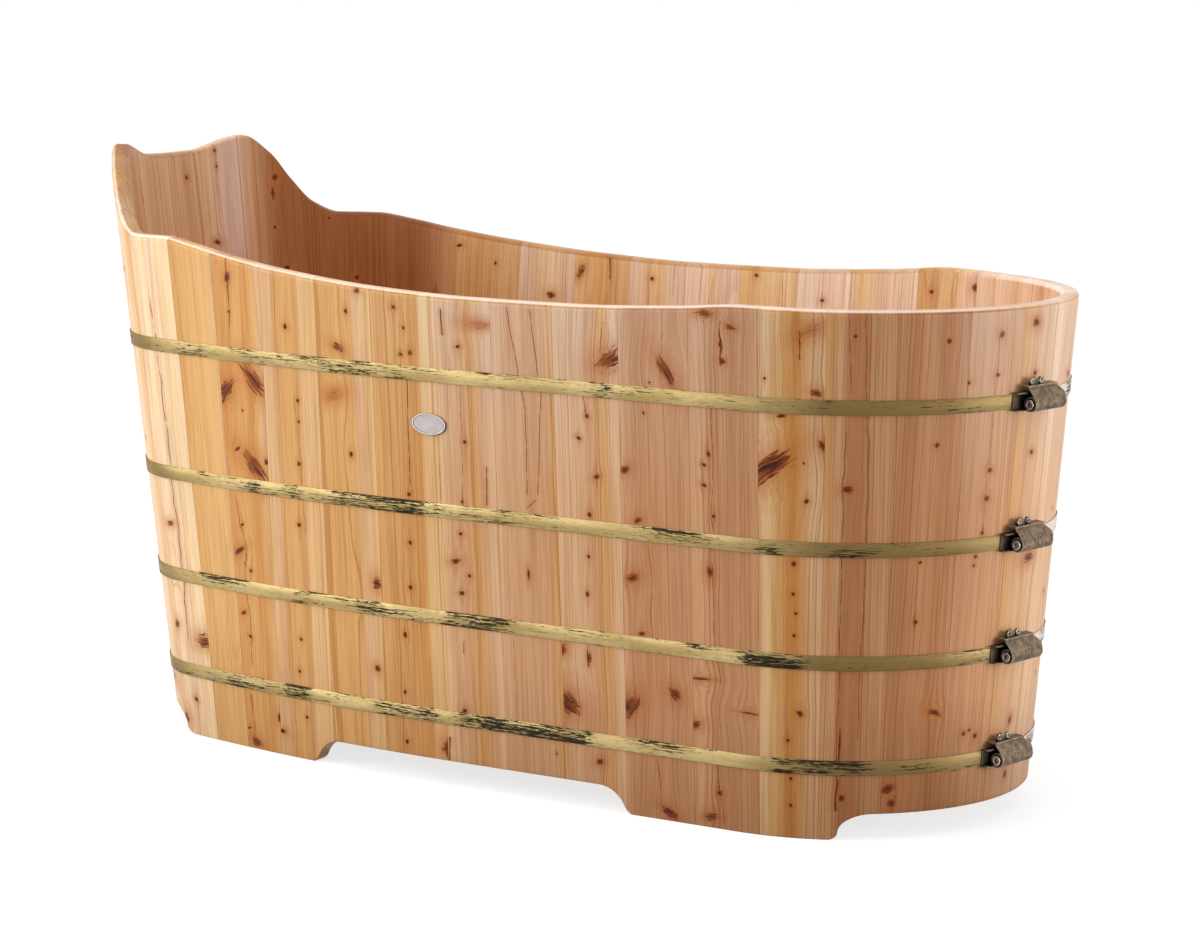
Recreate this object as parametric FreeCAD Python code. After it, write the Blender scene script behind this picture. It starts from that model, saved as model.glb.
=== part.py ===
import FreeCAD, Part
import math
import os

# A coopered wooden bathtub: leaning staves held by four metal hoops, each drawn
# tight by a screw clamp, round a boarded floor with a drain.
# Lengths are in millimetres and angles in degrees. The tub stands on its feet at
# Z = 0, over the middle of its bounding box. +X points to the low foot end, -X to
# the high head end, and the clamps and the badge are on the -Y side.

# Outline of the wall's outer face at floor level: from the middle of the head end
# an end arc, a corner arc, a nearly flat side arc, a straight and the foot's half circle
half_width = 279.8
straight_length = 462.2
side_radius = 2427.0
corner_radius = 129.6
side_arc_angle = 12.0
corner_arc_angle = 37.1
wall_lean_share = 0.074
head_lean_share = 0.052

# Wall and rim
wall_thickness = 26.0
rim_radius = 7.5
side_height = 717.0
foot_height = 734.0
ear_height = 891.0

# Rim line: shares of the half girth, and of the rise from the side's height to the ears
rim_line_shares = (
    (0.000, 0.868),
    (0.030, 0.876),
    (0.084, 1.000),
    (0.108, 0.835),
    (0.126, 0.590),
    (0.146, 0.375),
    (0.168, 0.287),
    (0.205, 0.292),
    (0.235, 0.250),
    (0.273, 0.181),
    (0.330, 0.103),
    (0.420, 0.026),
    (0.500, 0.000),
    (0.590, 0.008),
    (0.680, 0.057),
    (0.735, 0.103),
    (0.800, 0.095),
    (1.000, 0.098),
)

# Staves: where the first joint lies as a share of the full girth, and widths as
# shares of the average, counted past the clamps' side, the foot end and the far side
first_joint_share = 0.1061
stave_width_shares = (
    0.92, 0.96, 1.05, 1.00, 1.02, 1.02, 1.01, 1.06, 1.10, 1.06, 0.95, 1.00, 1.03, 0.99,
    1.07, 1.05, 1.08, 1.04, 1.06, 1.07, 1.05,
    0.98, 1.00, 0.97, 1.00, 0.99, 1.00, 0.98, 0.98,
    0.95, 0.97, 0.94, 0.96, 0.95, 0.94, 0.96, 0.97, 0.95,
)
# How far a joint's foot lies nearer to the head than its top, both as shares of the half girth
joint_drift_shares = (
    (0.00, 0.0),
    (0.21, 0.0),
    (0.31, 0.0257),
    (0.42, 0.0210),
    (0.527, 0.0126),
    (0.64, 0.0090),
    (0.75, 0.0015),
    (0.80, 0.0),
    (1.00, 0.0),
)
sections_per_stave = 5

# Feet: the arches sawn between them
arch_height = 37.0
arch_curve_length = 62.0
end_arch_curve_length = 38.0
arch_inflection_share = 0.32
side_arch_from_foot_arc = 160.0
side_arch_length = 574.0
head_arch_half_width = 229.0
foot_arch_half_width = 256.0
head_arch_depth = 190.0

# Floor boards in a groove round the staves, on battens; a short board carries the drain
floor_level = 58.0
floor_thickness = 20.0
floor_board_count = 7
groove_depth = 9.0
floor_clearance = 0.25
drain_board_margin = 48.0
batten_width = 62.0
batten_thickness = 14.0
batten_place_shares = (-1.714, -0.657)
batten_drain_gap = 9.6

# Hoops: flat bands, each with its ends meeting under a clamp
hoop_top_shares = (0.8356, 0.5699, 0.3553, 0.1540)
hoop_width = 20.5
hoop_thickness = 1.5
hoop_clearance = 0.4
hoop_end_gap = 12.0

# Clamps: lengths along the band are counted from the tangent point, towards the screw's head
clamp_angle = 80.0
saddle_front_reach = 35.0
saddle_back_reach = 48.0
saddle_thickness = 2.0
saddle_overhang = 2.6
saddle_clearance = 0.2
cheek_height = 9.0
cheek_back_reach = 2.0
cheek_thickness = 2.0
barrel_front_reach = 20.0
barrel_back_reach = 54.0
barrel_radius = 10.4
barrel_drop = 3.2
barrel_end_round = 2.5
barrel_standoff = 0.8
web_half_height = 5.5
web_front_reach = 10.0
web_back_reach = 40.0
ledge_rise = 20.5
ledge_thickness = 2.6
ledge_front_reach = 27.0
ledge_back_reach = 40.0
ledge_inner = 0.8
ledge_depth = 14.0
ledge_lip = 2.4
cover_thickness = 2.2
cover_end_rise = 3.0
groove_ring_count = 3
groove_ring_width = 1.8
groove_ring_cut = 0.9
groove_ring_reach = 12.0
groove_ring_pitch = 6.5

screw_radius = 5.4
screw_clearance = 0.08
screw_tip_gap = 1.5
screw_back_wall = 6.0
head_radius = 6.9
head_length = 15.0
head_proud = 3.5
head_pocket_clearance = 1.3
socket_across_flats = 6.0
socket_depth = 6.0

eyelet_radius = 4.8
eyelet_hole_radius = 1.7
eyelet_length = 5.0
eyelet_front_reach = 13.5
eyelet_pitch = 21.0
eyelet_seat_share = 0.93
tab_height = 8.0
tab_thickness = 2.0
tab_end_gap = 0.6

# Drain: the body's flange lies on the floor, a gasket and a nut hold it from below
drain_from_foot_arc = 90.0
drain_bore = 19.5
drain_thread_radius = 23.9
drain_hole_clearance = 0.4
drain_flange_radius = 34.0
drain_flange_thickness = 2.6
drain_tail_radius = 22.0
drain_tail_length = 30.0
thread_below_nut = 5.0
gasket_thickness = 3.0
gasket_radius = 32.0
nut_thickness = 8.0
nut_across_flats = 62.0
nut_clearance = 0.3
spider_drop = 14.0
spider_thickness = 3.5
hub_radius = 6.0
spoke_width = 4.0
spoke_count = 3
stem_radius = 3.0
stem_clearance = 0.08
stem_below_spider = 14.0
stopper_lip_radius = 25.0
stopper_lip_thickness = 2.4
stopper_plug_depth = 5.0
stopper_plug_clearance = 0.7
stopper_seat_gap = 0.05
knob_radius = 7.5
knob_height = 11.0
knob_neck_radius = 4.5
knob_neck_height = 4.0

# Oval badge, bare, on the clamps' side
badge_girth_share = 0.4635
badge_height_share = 0.7248
badge_half_length = 29.0
badge_half_height = 15.5
badge_thickness = 2.2
badge_lip_width = 2.2
badge_lip_height = 0.8
badge_gap = 0.3

# Cutters reach this far past what they cut
overrun = 2.0

side_angle = math.radians(side_arc_angle)
corner_angle = math.radians(side_arc_angle + corner_arc_angle)
square_angle = math.pi / 2
end_radius = (
    half_width
    - side_radius * (1 - math.cos(side_angle))
    - corner_radius * (math.cos(side_angle) - math.cos(corner_angle))
) / math.cos(corner_angle)
side_centre_y = half_width - side_radius
corner_centre_x = (side_radius - corner_radius) * math.sin(side_angle)
corner_centre_y = side_centre_y + (side_radius - corner_radius) * math.cos(side_angle)
end_centre_x = corner_centre_x + (corner_radius - end_radius) * math.sin(corner_angle)
up = FreeCAD.Vector(0, 0, 1)

# Each stretch of the half outline: radius, centre's distance past the straight and
# from the middle plane, and the normal's angles at its start and end
head_stretches = (
    (end_radius, end_centre_x, 0, square_angle, corner_angle),
    (corner_radius, corner_centre_x, corner_centre_y, corner_angle, side_angle),
    (side_radius, 0, side_centre_y, side_angle, 0),
)
stretch_count = 5


def spread(height):
    """How far the outer face has moved out at a height."""
    return wall_lean_share * height


def straight_at(height):
    return straight_length + head_lean_share * height


def stretch_point(stretch, share, height, outset, side):
    """A point of the outline, and its horizontal outward normal."""
    growth = spread(height) + outset
    if stretch == 4:
        angle = square_angle * share
        normal = FreeCAD.Vector(math.sin(angle), side * math.cos(angle), 0)
        return normal * (half_width + growth) + up * height, normal
    if stretch == 3:
        x = -straight_at(height) * (1 - share)
        return FreeCAD.Vector(x, side * (half_width + growth), height), FreeCAD.Vector(0, side, 0)
    radius, centre_x, centre_y, start, end = head_stretches[stretch]
    angle = start + (end - start) * share
    normal = FreeCAD.Vector(-math.sin(angle), side * math.cos(angle), 0)
    centre = FreeCAD.Vector(-straight_at(height) - centre_x, side * centre_y, height)
    return centre + normal * (radius + growth), normal


def stretch_lengths(height):
    growth = spread(height)
    lengths = [(arc[0] + growth) * (arc[3] - arc[4]) for arc in head_stretches]
    return lengths + [straight_at(height), (half_width + growth) * square_angle]


reference_lengths = stretch_lengths(foot_height)
half_girth = sum(reference_lengths)


def outline(girth, height, outset, side):
    """The outline at a girth measured on the reference outline from the head's middle."""
    stretch = 0
    while stretch < stretch_count - 1 and girth > reference_lengths[stretch]:
        girth -= reference_lengths[stretch]
        stretch += 1
    return stretch_point(stretch, girth / reference_lengths[stretch], height, outset, side)


def fold(girth):
    """Turns a girth round the whole tub into one from the head's middle, and its side."""
    girth = girth % (2 * half_girth)
    if girth <= half_girth:
        return girth, -1
    return 2 * half_girth - girth, 1


def slope_between(table, index):
    return (table[index + 1][1] - table[index][1]) / (table[index + 1][0] - table[index][0])


def smooth_value(table, place):
    """A smooth curve through a table, level at its ends and peaks."""
    index = 0
    while index < len(table) - 2 and place > table[index + 1][0]:
        index += 1
    slopes = []
    for knot in (index, index + 1):
        slope = 0
        if 0 < knot < len(table) - 1:
            before = slope_between(table, knot - 1)
            after = slope_between(table, knot)
            if before * after > 0:
                slope = 2 * before * after / (before + after)
        slopes.append(slope)
    start, end = table[index], table[index + 1]
    width = end[0] - start[0]
    t = (place - start[0]) / width
    return (
        start[1] * (1 + 2 * t) * (1 - t) ** 2
        + slopes[0] * width * t * (1 - t) ** 2
        + end[1] * t * t * (3 - 2 * t)
        + slopes[1] * width * t * t * (t - 1)
    )


def straight_value(table, place):
    index = 0
    while index < len(table) - 2 and place > table[index + 1][0]:
        index += 1
    return table[index][1] + slope_between(table, index) * (place - table[index][0])


def rim_height(girth):
    rise = smooth_value(rim_line_shares, girth / half_girth)
    return side_height + rise * (ear_height - side_height)


def wire_of(points):
    return Part.makePolygon(points + [points[0]])


def stave_section(girth):
    """The wall's upright section at one place round the tub, as a closed wire."""
    girth, side = fold(girth)
    drift = half_girth * straight_value(joint_drift_shares, girth / half_girth)
    top, top_normal = outline(girth, foot_height, 0, side)
    low, low_normal = outline(girth - drift, 0, 0, side)
    rise = (top - low) * (1 / foot_height)
    normal = (top_normal + low_normal).normalize()
    crown = rim_height(girth)
    shoulder = crown - rim_radius

    def at(height, inset):
        return low + rise * height - normal * inset

    def rim_arc(start, end, centre_inset, turn):
        bulge = rim_radius * math.sqrt(0.5)
        middle = at(shoulder + bulge, centre_inset + turn * bulge)
        return Part.Arc(start, middle, end).toShape()

    outer_low = at(-overrun, 0)
    outer_high = at(shoulder, 0)
    crown_outer = at(crown, rim_radius)
    crown_inner = at(crown, wall_thickness - rim_radius)
    inner_high = at(shoulder, wall_thickness)
    groove_high = floor_level + floor_thickness + floor_clearance
    groove_low = floor_level - floor_clearance
    groove_bottom = wall_thickness - groove_depth
    inner_line = [
        inner_high,
        at(groove_high, wall_thickness),
        at(groove_high, groove_bottom),
        at(groove_low, groove_bottom),
        at(groove_low, wall_thickness),
        at(-overrun, wall_thickness),
        outer_low,
    ]
    edges = [
        Part.makeLine(outer_low, outer_high),
        rim_arc(outer_high, crown_outer, rim_radius, -1),
        Part.makeLine(crown_outer, crown_inner),
        rim_arc(crown_inner, inner_high, wall_thickness - rim_radius, 1),
    ]
    edges += [Part.makeLine(start, end) for start, end in zip(inner_line, inner_line[1:])]
    return Part.Wire(edges)


def arch_cutter(start, end, curve_length, place):
    """A prism that saws an arch: place turns a distance along and a height into a point."""
    level = -overrun
    rise = arch_height - level
    radius_sum = (curve_length ** 2 + rise ** 2) / (2 * rise)
    turn = math.asin(curve_length / radius_sum)
    if rise > curve_length:
        turn = math.pi - turn
    low_radius = radius_sum * arch_inflection_share
    high_radius = radius_sum - low_radius

    def half_curve(origin, direction):
        def point(along, height):
            return place(origin + direction * along, level + height)

        inflection = point(low_radius * math.sin(turn), low_radius * (1 - math.cos(turn)))
        low_middle = point(low_radius * math.sin(turn / 2), low_radius * (1 - math.cos(turn / 2)))
        high_middle = point(
            curve_length - high_radius * math.sin(turn / 2),
            rise - high_radius * (1 - math.cos(turn / 2)),
        )
        return [
            Part.Arc(point(0, 0), low_middle, inflection).toShape(),
            Part.Arc(inflection, high_middle, point(curve_length, rise)).toShape(),
        ]

    crown_start = place(start + curve_length, arch_height)
    crown_end = place(end - curve_length, arch_height)
    edges = half_curve(start, 1) + half_curve(end, -1)
    edges.append(Part.makeLine(crown_start, crown_end))
    edges.append(Part.makeLine(place(start, level), place(end, level)))
    return Part.Face(Part.Wire(Part.__sortEdges__(edges)))


def foot_cutters():
    """The ground under the feet, and the arches under both sides, the head end and the foot end."""
    reach = half_width + side_height
    tub_reach = straight_length + corner_centre_x + end_radius + side_height
    side_end = -side_arch_from_foot_arc
    side_face = arch_cutter(
        side_end - side_arch_length,
        side_end,
        arch_curve_length,
        lambda along, height: FreeCAD.Vector(along, -reach, height),
    )
    head_start = end_centre_x + straight_length + end_radius - head_arch_depth
    head_face = arch_cutter(
        -head_arch_half_width,
        head_arch_half_width,
        end_arch_curve_length,
        lambda along, height: FreeCAD.Vector(-head_start, along, height),
    )
    foot_face = arch_cutter(
        -foot_arch_half_width,
        foot_arch_half_width,
        end_arch_curve_length,
        lambda along, height: FreeCAD.Vector(0, along, height),
    )
    ground = Part.makeBox(
        2 * tub_reach,
        2 * tub_reach,
        2 * overrun,
        FreeCAD.Vector(-tub_reach, -tub_reach, -2 * overrun),
    )
    return [
        ground,
        side_face.extrude(FreeCAD.Vector(0, 2 * reach, 0)),
        head_face.extrude(FreeCAD.Vector(-tub_reach, 0, 0)),
        foot_face.extrude(FreeCAD.Vector(tub_reach, 0, 0)),
    ]


def make_staves():
    cutters = foot_cutters()
    average = 2 * half_girth / sum(stave_width_shares)
    start = first_joint_share * 2 * half_girth
    staves = []
    for width_share in stave_width_shares:
        width = width_share * average
        places = [start + width * k / (sections_per_stave - 1) for k in range(sections_per_stave)]
        stave = Part.makeLoft([stave_section(place) for place in places], True, False)
        for cutter in cutters:
            if stave.BoundBox.intersect(cutter.BoundBox):
                stave = stave.cut(cutter)
        staves.append(stave.Solids[0])
        start += width
    return staves


def outline_wire(height, outset):
    """The whole outline at a height, moved out from the wall's outer face."""
    edges = []
    for side in (-1, 1):
        for stretch in range(stretch_count):
            start = stretch_point(stretch, 0, height, outset, side)[0]
            middle = stretch_point(stretch, 0.5, height, outset, side)[0]
            end = stretch_point(stretch, 1, height, outset, side)[0]
            if stretch == 3:
                edges.append(Part.makeLine(start, end))
            else:
                edges.append(Part.Arc(start, middle, end).toShape())
    return Part.Wire(Part.__sortEdges__(edges))


def wall_plug(low, high, outset):
    """The solid inside a surface that follows the wall between two heights."""
    return Part.makeLoft([outline_wire(low, outset), outline_wire(high, outset)], True, True)


def hoop_levels(top_share):
    top = foot_height * top_share
    return top - hoop_width, top


def foot_arc_angle(along):
    """The angle round the foot's arc at a length along the band from the clamp's tangent point."""
    return math.radians(clamp_angle) - along / half_width


def band_sector(front, back, low, high, inner, thickness):
    """A piece of a band that follows the foot end's wall, from one length along it to another."""
    wires = []
    for height in (low, high):
        rings = []
        for outset in (inner, inner + thickness):
            places = (foot_arc_angle(front), foot_arc_angle((front + back) / 2), foot_arc_angle(back))
            rings.append(
                [stretch_point(4, angle / square_angle, height, outset, -1)[0] for angle in places]
            )
        near, far = rings
        wires.append(
            Part.Wire(
                [
                    Part.Arc(near[0], near[1], near[2]).toShape(),
                    Part.makeLine(near[2], far[2]),
                    Part.Arc(far[2], far[1], far[0]).toShape(),
                    Part.makeLine(far[0], near[0]),
                ]
            )
        )
    return Part.makeLoft(wires, True, True)


def make_hoop(top_share):
    low, high = hoop_levels(top_share)
    outer = wall_plug(low, high, hoop_clearance + hoop_thickness)
    inner = wall_plug(low, high, hoop_clearance)
    gap = band_sector(
        hoop_end_gap / 2,
        -hoop_end_gap / 2,
        low - overrun,
        high + overrun,
        hoop_clearance - overrun,
        hoop_thickness + 2 * overrun,
    )
    return outer.cut(inner).cut(gap)


def wall_placement(origin, normal):
    """Puts a piece's own axes on the wall: X along it, Y out of it and Z up it."""
    rise = (up + normal * wall_lean_share).normalize()
    out = (normal - up * wall_lean_share).normalize()
    along = out.cross(rise)
    return FreeCAD.Placement(
        FreeCAD.Matrix(
            along.x, out.x, rise.x, origin.x,
            along.y, out.y, rise.y, origin.y,
            along.z, out.z, rise.z, origin.z,
            0, 0, 0, 1,
        )
    )


def clamp_placement(top_share):
    """Puts the clamp's own axes on the band, with X towards the screw's head."""
    low, high = hoop_levels(top_share)
    share = foot_arc_angle(0) / square_angle
    origin, normal = stretch_point(4, share, (low + high) / 2, hoop_clearance + hoop_thickness, -1)
    return wall_placement(origin, normal)


saddle_inner = hoop_clearance + hoop_thickness + saddle_clearance
barrel_axis_y = saddle_clearance + saddle_thickness + barrel_standoff + barrel_radius
barrel_axis_z = -barrel_drop
x_axis = FreeCAD.Vector(1, 0, 0)
y_axis = FreeCAD.Vector(0, 1, 0)


def make_saddle(top_share):
    """A channel that hugs the band, with cheeks beside the screw's head."""
    low, high = hoop_levels(top_share)
    low -= saddle_overhang
    high += saddle_overhang
    front = saddle_front_reach
    saddle = band_sector(front, -saddle_back_reach, low, high, saddle_inner, saddle_thickness)
    tall = saddle_thickness + cheek_height
    for level in (low, high - cheek_thickness):
        cheek = band_sector(front, cheek_back_reach, level, level + cheek_thickness, saddle_inner, tall)
        saddle = saddle.fuse(cheek)
    clamp = clamp_placement(top_share)
    barrel = Part.makeCylinder(
        barrel_radius + saddle_clearance,
        saddle_front_reach + barrel_front_reach,
        FreeCAD.Vector(barrel_front_reach - saddle_front_reach, barrel_axis_y, barrel_axis_z),
        x_axis,
    )
    barrel.Placement = clamp
    return saddle.cut(barrel).removeSplitter()


def barrel_cylinder(radius, front, back):
    start = FreeCAD.Vector(-back, barrel_axis_y, barrel_axis_z)
    return Part.makeCylinder(radius, front + back, start, x_axis)


def make_housing(top_share):
    """The clamp's barrel for the screw, with the cover above it, the ledge, the tab and the web."""
    barrel = barrel_cylinder(barrel_radius, barrel_front_reach, barrel_back_reach)
    round_end = barrel_end_round - barrel_back_reach
    back_edges = [edge for edge in barrel.Edges if edge.BoundBox.XMax < round_end]
    barrel = barrel.makeFillet(barrel_end_round, back_edges)
    ledge = Part.makeBox(
        ledge_front_reach + ledge_back_reach,
        ledge_depth,
        ledge_thickness,
        FreeCAD.Vector(-ledge_back_reach, ledge_inner, ledge_rise),
    )
    tab_front = eyelet_front_reach - eyelet_radius - tab_end_gap
    tab_back = eyelet_front_reach - eyelet_pitch + eyelet_radius + tab_end_gap
    tab = Part.makeBox(
        tab_front - tab_back,
        tab_thickness,
        tab_height + ledge_thickness,
        FreeCAD.Vector(tab_back, ledge_inner + (ledge_depth - tab_thickness) / 2, ledge_rise),
    )
    web = Part.makeBox(
        web_front_reach + web_back_reach,
        barrel_axis_y + saddle_inner,
        2 * web_half_height,
        FreeCAD.Vector(-web_back_reach, -saddle_inner, barrel_axis_z - web_half_height),
    )
    cover_low = barrel_axis_z + barrel_radius / 2
    cover_foot = barrel_axis_y + barrel_radius * math.sqrt(0.75)
    cover_top = ledge_rise + ledge_thickness / 2
    cover_head = ledge_inner + ledge_depth - ledge_lip
    cover_section = wire_of(
        [
            FreeCAD.Vector(-barrel_back_reach, cover_foot - cover_thickness, cover_low),
            FreeCAD.Vector(-barrel_back_reach, cover_foot, cover_low),
            FreeCAD.Vector(-barrel_back_reach, cover_head, cover_top),
            FreeCAD.Vector(-barrel_back_reach, cover_head - cover_thickness, cover_top),
        ]
    )
    cover = Part.Face(cover_section).extrude(x_axis * (barrel_back_reach + ledge_front_reach))
    cover_outline = wire_of(
        [
            FreeCAD.Vector(-barrel_back_reach, -overrun, cover_low - overrun),
            FreeCAD.Vector(barrel_front_reach, -overrun, cover_low - overrun),
            FreeCAD.Vector(barrel_front_reach, -overrun, barrel_axis_z + barrel_radius),
            FreeCAD.Vector(ledge_front_reach, -overrun, ledge_rise),
            FreeCAD.Vector(ledge_front_reach, -overrun, cover_top + overrun),
            FreeCAD.Vector(-ledge_back_reach, -overrun, cover_top + overrun),
            FreeCAD.Vector(-ledge_back_reach, -overrun, ledge_rise),
            FreeCAD.Vector(-barrel_back_reach, -overrun, barrel_axis_z + barrel_radius + cover_end_rise),
        ]
    )
    cover_depth = cover_foot + 2 * overrun
    cover = cover.common(Part.Face(cover_outline).extrude(y_axis * cover_depth))
    housing = barrel.fuse([ledge, tab, web, cover])
    pocket_back = head_proud + barrel_front_reach - head_length - screw_tip_gap
    bore_radius = screw_radius + screw_clearance
    bore = barrel_cylinder(bore_radius, barrel_front_reach, barrel_back_reach - screw_back_wall)
    pocket_radius = head_radius + head_pocket_clearance
    pocket = barrel_cylinder(pocket_radius, barrel_front_reach + overrun, -pocket_back)
    housing = housing.cut(bore).cut(pocket)
    for ring in range(groove_ring_count):
        reach = groove_ring_reach + ring * groove_ring_pitch
        outside = barrel_cylinder(barrel_radius + groove_ring_cut, groove_ring_width - reach, reach)
        inside = barrel_cylinder(barrel_radius - groove_ring_cut, groove_ring_width - reach, reach)
        mark = outside.cut(inside)
        mark = mark.common(
            Part.makeBox(
                groove_ring_width,
                barrel_radius + groove_ring_cut,
                2 * barrel_radius,
                FreeCAD.Vector(-reach, barrel_axis_y, barrel_axis_z - barrel_radius),
            )
        )
        housing = housing.cut(mark)
    housing.Placement = clamp_placement(top_share)
    low, high = hoop_levels(top_share)
    seat = band_sector(
        saddle_front_reach + overrun,
        -saddle_back_reach - overrun,
        low - saddle_overhang,
        high + saddle_overhang,
        -saddle_inner,
        2 * saddle_inner + saddle_thickness,
    )
    return housing.cut(seat).removeSplitter()


def make_screw(top_share):
    """The clamp's screw: a shank in the barrel and a head with a hexagon socket."""
    front = barrel_front_reach + head_proud
    shank_back = barrel_back_reach - screw_back_wall - screw_tip_gap
    shank = barrel_cylinder(screw_radius, front - head_length, shank_back)
    head = barrel_cylinder(head_radius, front, head_length - front)
    corner = socket_across_flats / math.sqrt(3)
    socket_start = front - socket_depth
    hexagon = [
        FreeCAD.Vector(
            socket_start,
            barrel_axis_y + corner * math.cos(k * math.pi / 3),
            barrel_axis_z + corner * math.sin(k * math.pi / 3),
        )
        for k in range(6)
    ]
    socket = Part.Face(wire_of(hexagon)).extrude(x_axis * (socket_depth + overrun))
    screw = shank.fuse(head).cut(socket)
    screw.Placement = clamp_placement(top_share)
    return screw


def make_eyelets(top_share):
    """Two rings that stand on the clamp's ledge."""
    seat = ledge_rise + ledge_thickness
    centre_z = seat + eyelet_radius * eyelet_seat_share
    start_y = ledge_inner + (ledge_depth - eyelet_length) / 2
    eyelets = []
    for count in range(2):
        start = FreeCAD.Vector(eyelet_front_reach - count * eyelet_pitch, start_y, centre_z)
        ring = Part.makeCylinder(eyelet_radius, eyelet_length, start, y_axis)
        ring = ring.cut(Part.makeCylinder(eyelet_hole_radius, eyelet_length, start, y_axis))
        below = Part.makeBox(
            2 * eyelet_radius,
            eyelet_length,
            eyelet_radius,
            FreeCAD.Vector(start.x - eyelet_radius, start_y, seat - eyelet_radius),
        )
        ring = ring.cut(below)
        ring.Placement = clamp_placement(top_share)
        eyelets.append(ring)
    return eyelets


floor_top = floor_level + floor_thickness
nut_corner = nut_across_flats / math.sqrt(3)
drain_flange_top = floor_top + drain_flange_thickness
gasket_low = floor_level - gasket_thickness
nut_low = gasket_low - nut_thickness
tail_top = nut_low - thread_below_nut
tail_end = tail_top - drain_tail_length


def drain_cylinder(radius, low, high):
    return Part.makeCylinder(radius, high - low, FreeCAD.Vector(drain_from_foot_arc, 0, low))


def make_floor_boards():
    """Boards that run along the tub, their ends and outer edges in the staves' groove."""
    inset = wall_thickness - groove_depth + floor_clearance
    floor = wall_plug(floor_level, floor_top, -inset)
    floor = floor.cut(drain_cylinder(drain_thread_radius + drain_hole_clearance, 0, floor_top + overrun))
    box = floor.BoundBox
    board_width = box.YLength / floor_board_count
    boards = []
    for count in range(floor_board_count):
        strip = Part.makeBox(
            box.XLength + 2 * overrun,
            board_width,
            floor_thickness + 2 * overrun,
            FreeCAD.Vector(box.XMin - overrun, box.YMin + count * board_width, floor_level - overrun),
        )
        boards += floor.common(strip).Solids
    middle = boards.pop(floor_board_count // 2)
    joint = drain_from_foot_arc - drain_flange_radius - drain_board_margin
    foot_side = Part.makeBox(
        box.XMax - joint + overrun,
        2 * board_width,
        floor_thickness + 2 * overrun,
        FreeCAD.Vector(joint, -board_width, floor_level - overrun),
    )
    boards += middle.cut(foot_side).Solids
    return boards, middle.common(foot_side).Solids[0]


def make_battens():
    """Cross battens under the floor boards."""
    low = floor_level - batten_thickness
    inside = wall_plug(low, floor_level, -wall_thickness - floor_clearance)
    starts = [place_share * straight_length - batten_width / 2 for place_share in batten_place_shares]
    starts.append(drain_from_foot_arc + nut_corner + batten_drain_gap)
    battens = []
    for start in starts:
        strip = Part.makeBox(
            batten_width,
            2 * half_width,
            batten_thickness,
            FreeCAD.Vector(start, -half_width, low),
        )
        battens += inside.common(strip).Solids
    return battens


def make_drain_body():
    """Flange, threaded neck and tail in one piece, with a spider that guides the stopper's stem."""
    body = drain_cylinder(drain_flange_radius, floor_top, drain_flange_top)
    edges = [edge for edge in body.Edges if edge.BoundBox.ZMin > floor_top + drain_flange_thickness / 2]
    rims = [edge for edge in edges if len(edge.Vertexes) == 1]
    body = body.makeChamfer(drain_flange_thickness / 2, rims)
    body = body.fuse(drain_cylinder(drain_thread_radius, tail_top, floor_top))
    body = body.fuse(drain_cylinder(drain_tail_radius, tail_end, tail_top))
    body = body.cut(drain_cylinder(drain_bore, tail_end - overrun, drain_flange_top + overrun))
    high = floor_top - spider_drop
    low = high - spider_thickness
    spider = drain_cylinder(hub_radius, low, high)
    for count in range(spoke_count):
        spoke = Part.makeBox(
            (drain_bore + drain_tail_radius) / 2,
            spoke_width,
            spider_thickness,
            FreeCAD.Vector(drain_from_foot_arc, -spoke_width / 2, low),
        )
        spoke.rotate(FreeCAD.Vector(drain_from_foot_arc, 0, 0), up, 360 * count / spoke_count)
        spider = spider.fuse(spoke)
    body = body.fuse(spider)
    guide = drain_cylinder(stem_radius + stem_clearance, low - overrun, high + overrun)
    return body.cut(guide).removeSplitter()


def make_gasket():
    ring = drain_cylinder(gasket_radius, gasket_low, floor_level)
    return ring.cut(drain_cylinder(drain_thread_radius + nut_clearance, gasket_low, floor_level))


def make_nut():
    hexagon = [
        FreeCAD.Vector(
            drain_from_foot_arc + nut_corner * math.cos(k * math.pi / 3),
            nut_corner * math.sin(k * math.pi / 3),
            nut_low,
        )
        for k in range(6)
    ]
    nut = Part.Face(wire_of(hexagon)).extrude(up * nut_thickness)
    return nut.cut(drain_cylinder(drain_thread_radius + nut_clearance, nut_low, gasket_low))


def make_stopper():
    """A lipped plug with a knob above it and a stem that slides in the spider."""
    seat = drain_flange_top + stopper_seat_gap
    lip_top = seat + stopper_lip_thickness
    plug = drain_cylinder(drain_bore - stopper_plug_clearance, seat - stopper_plug_depth, seat)
    lip = drain_cylinder(stopper_lip_radius, seat, lip_top)
    stem_low = floor_top - spider_drop - spider_thickness - stem_below_spider
    stem = drain_cylinder(stem_radius, stem_low, seat)
    neck_top = lip_top + knob_neck_height
    neck = drain_cylinder(knob_neck_radius, lip_top, neck_top)
    knob = drain_cylinder(knob_radius, neck_top, lip_top + knob_height)
    knob_edges = [edge for edge in knob.Edges if len(edge.Vertexes) == 1]
    knob = knob.makeFillet((knob_height - knob_neck_height) / 4, knob_edges)
    return lip.fuse([plug, stem, neck, knob]).removeSplitter()


def oval(half_length, half_height, low, high):
    """An elliptical plate on the local XZ plane, between two distances out along Y."""
    ellipse = Part.Ellipse(FreeCAD.Vector(0, 0, 0), half_length, half_height).toShape()
    plate = Part.Face(Part.Wire(ellipse)).extrude(up * (high - low))
    plate.rotate(FreeCAD.Vector(0, 0, 0), x_axis, -90)
    plate.translate(y_axis * low)
    return plate


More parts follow.
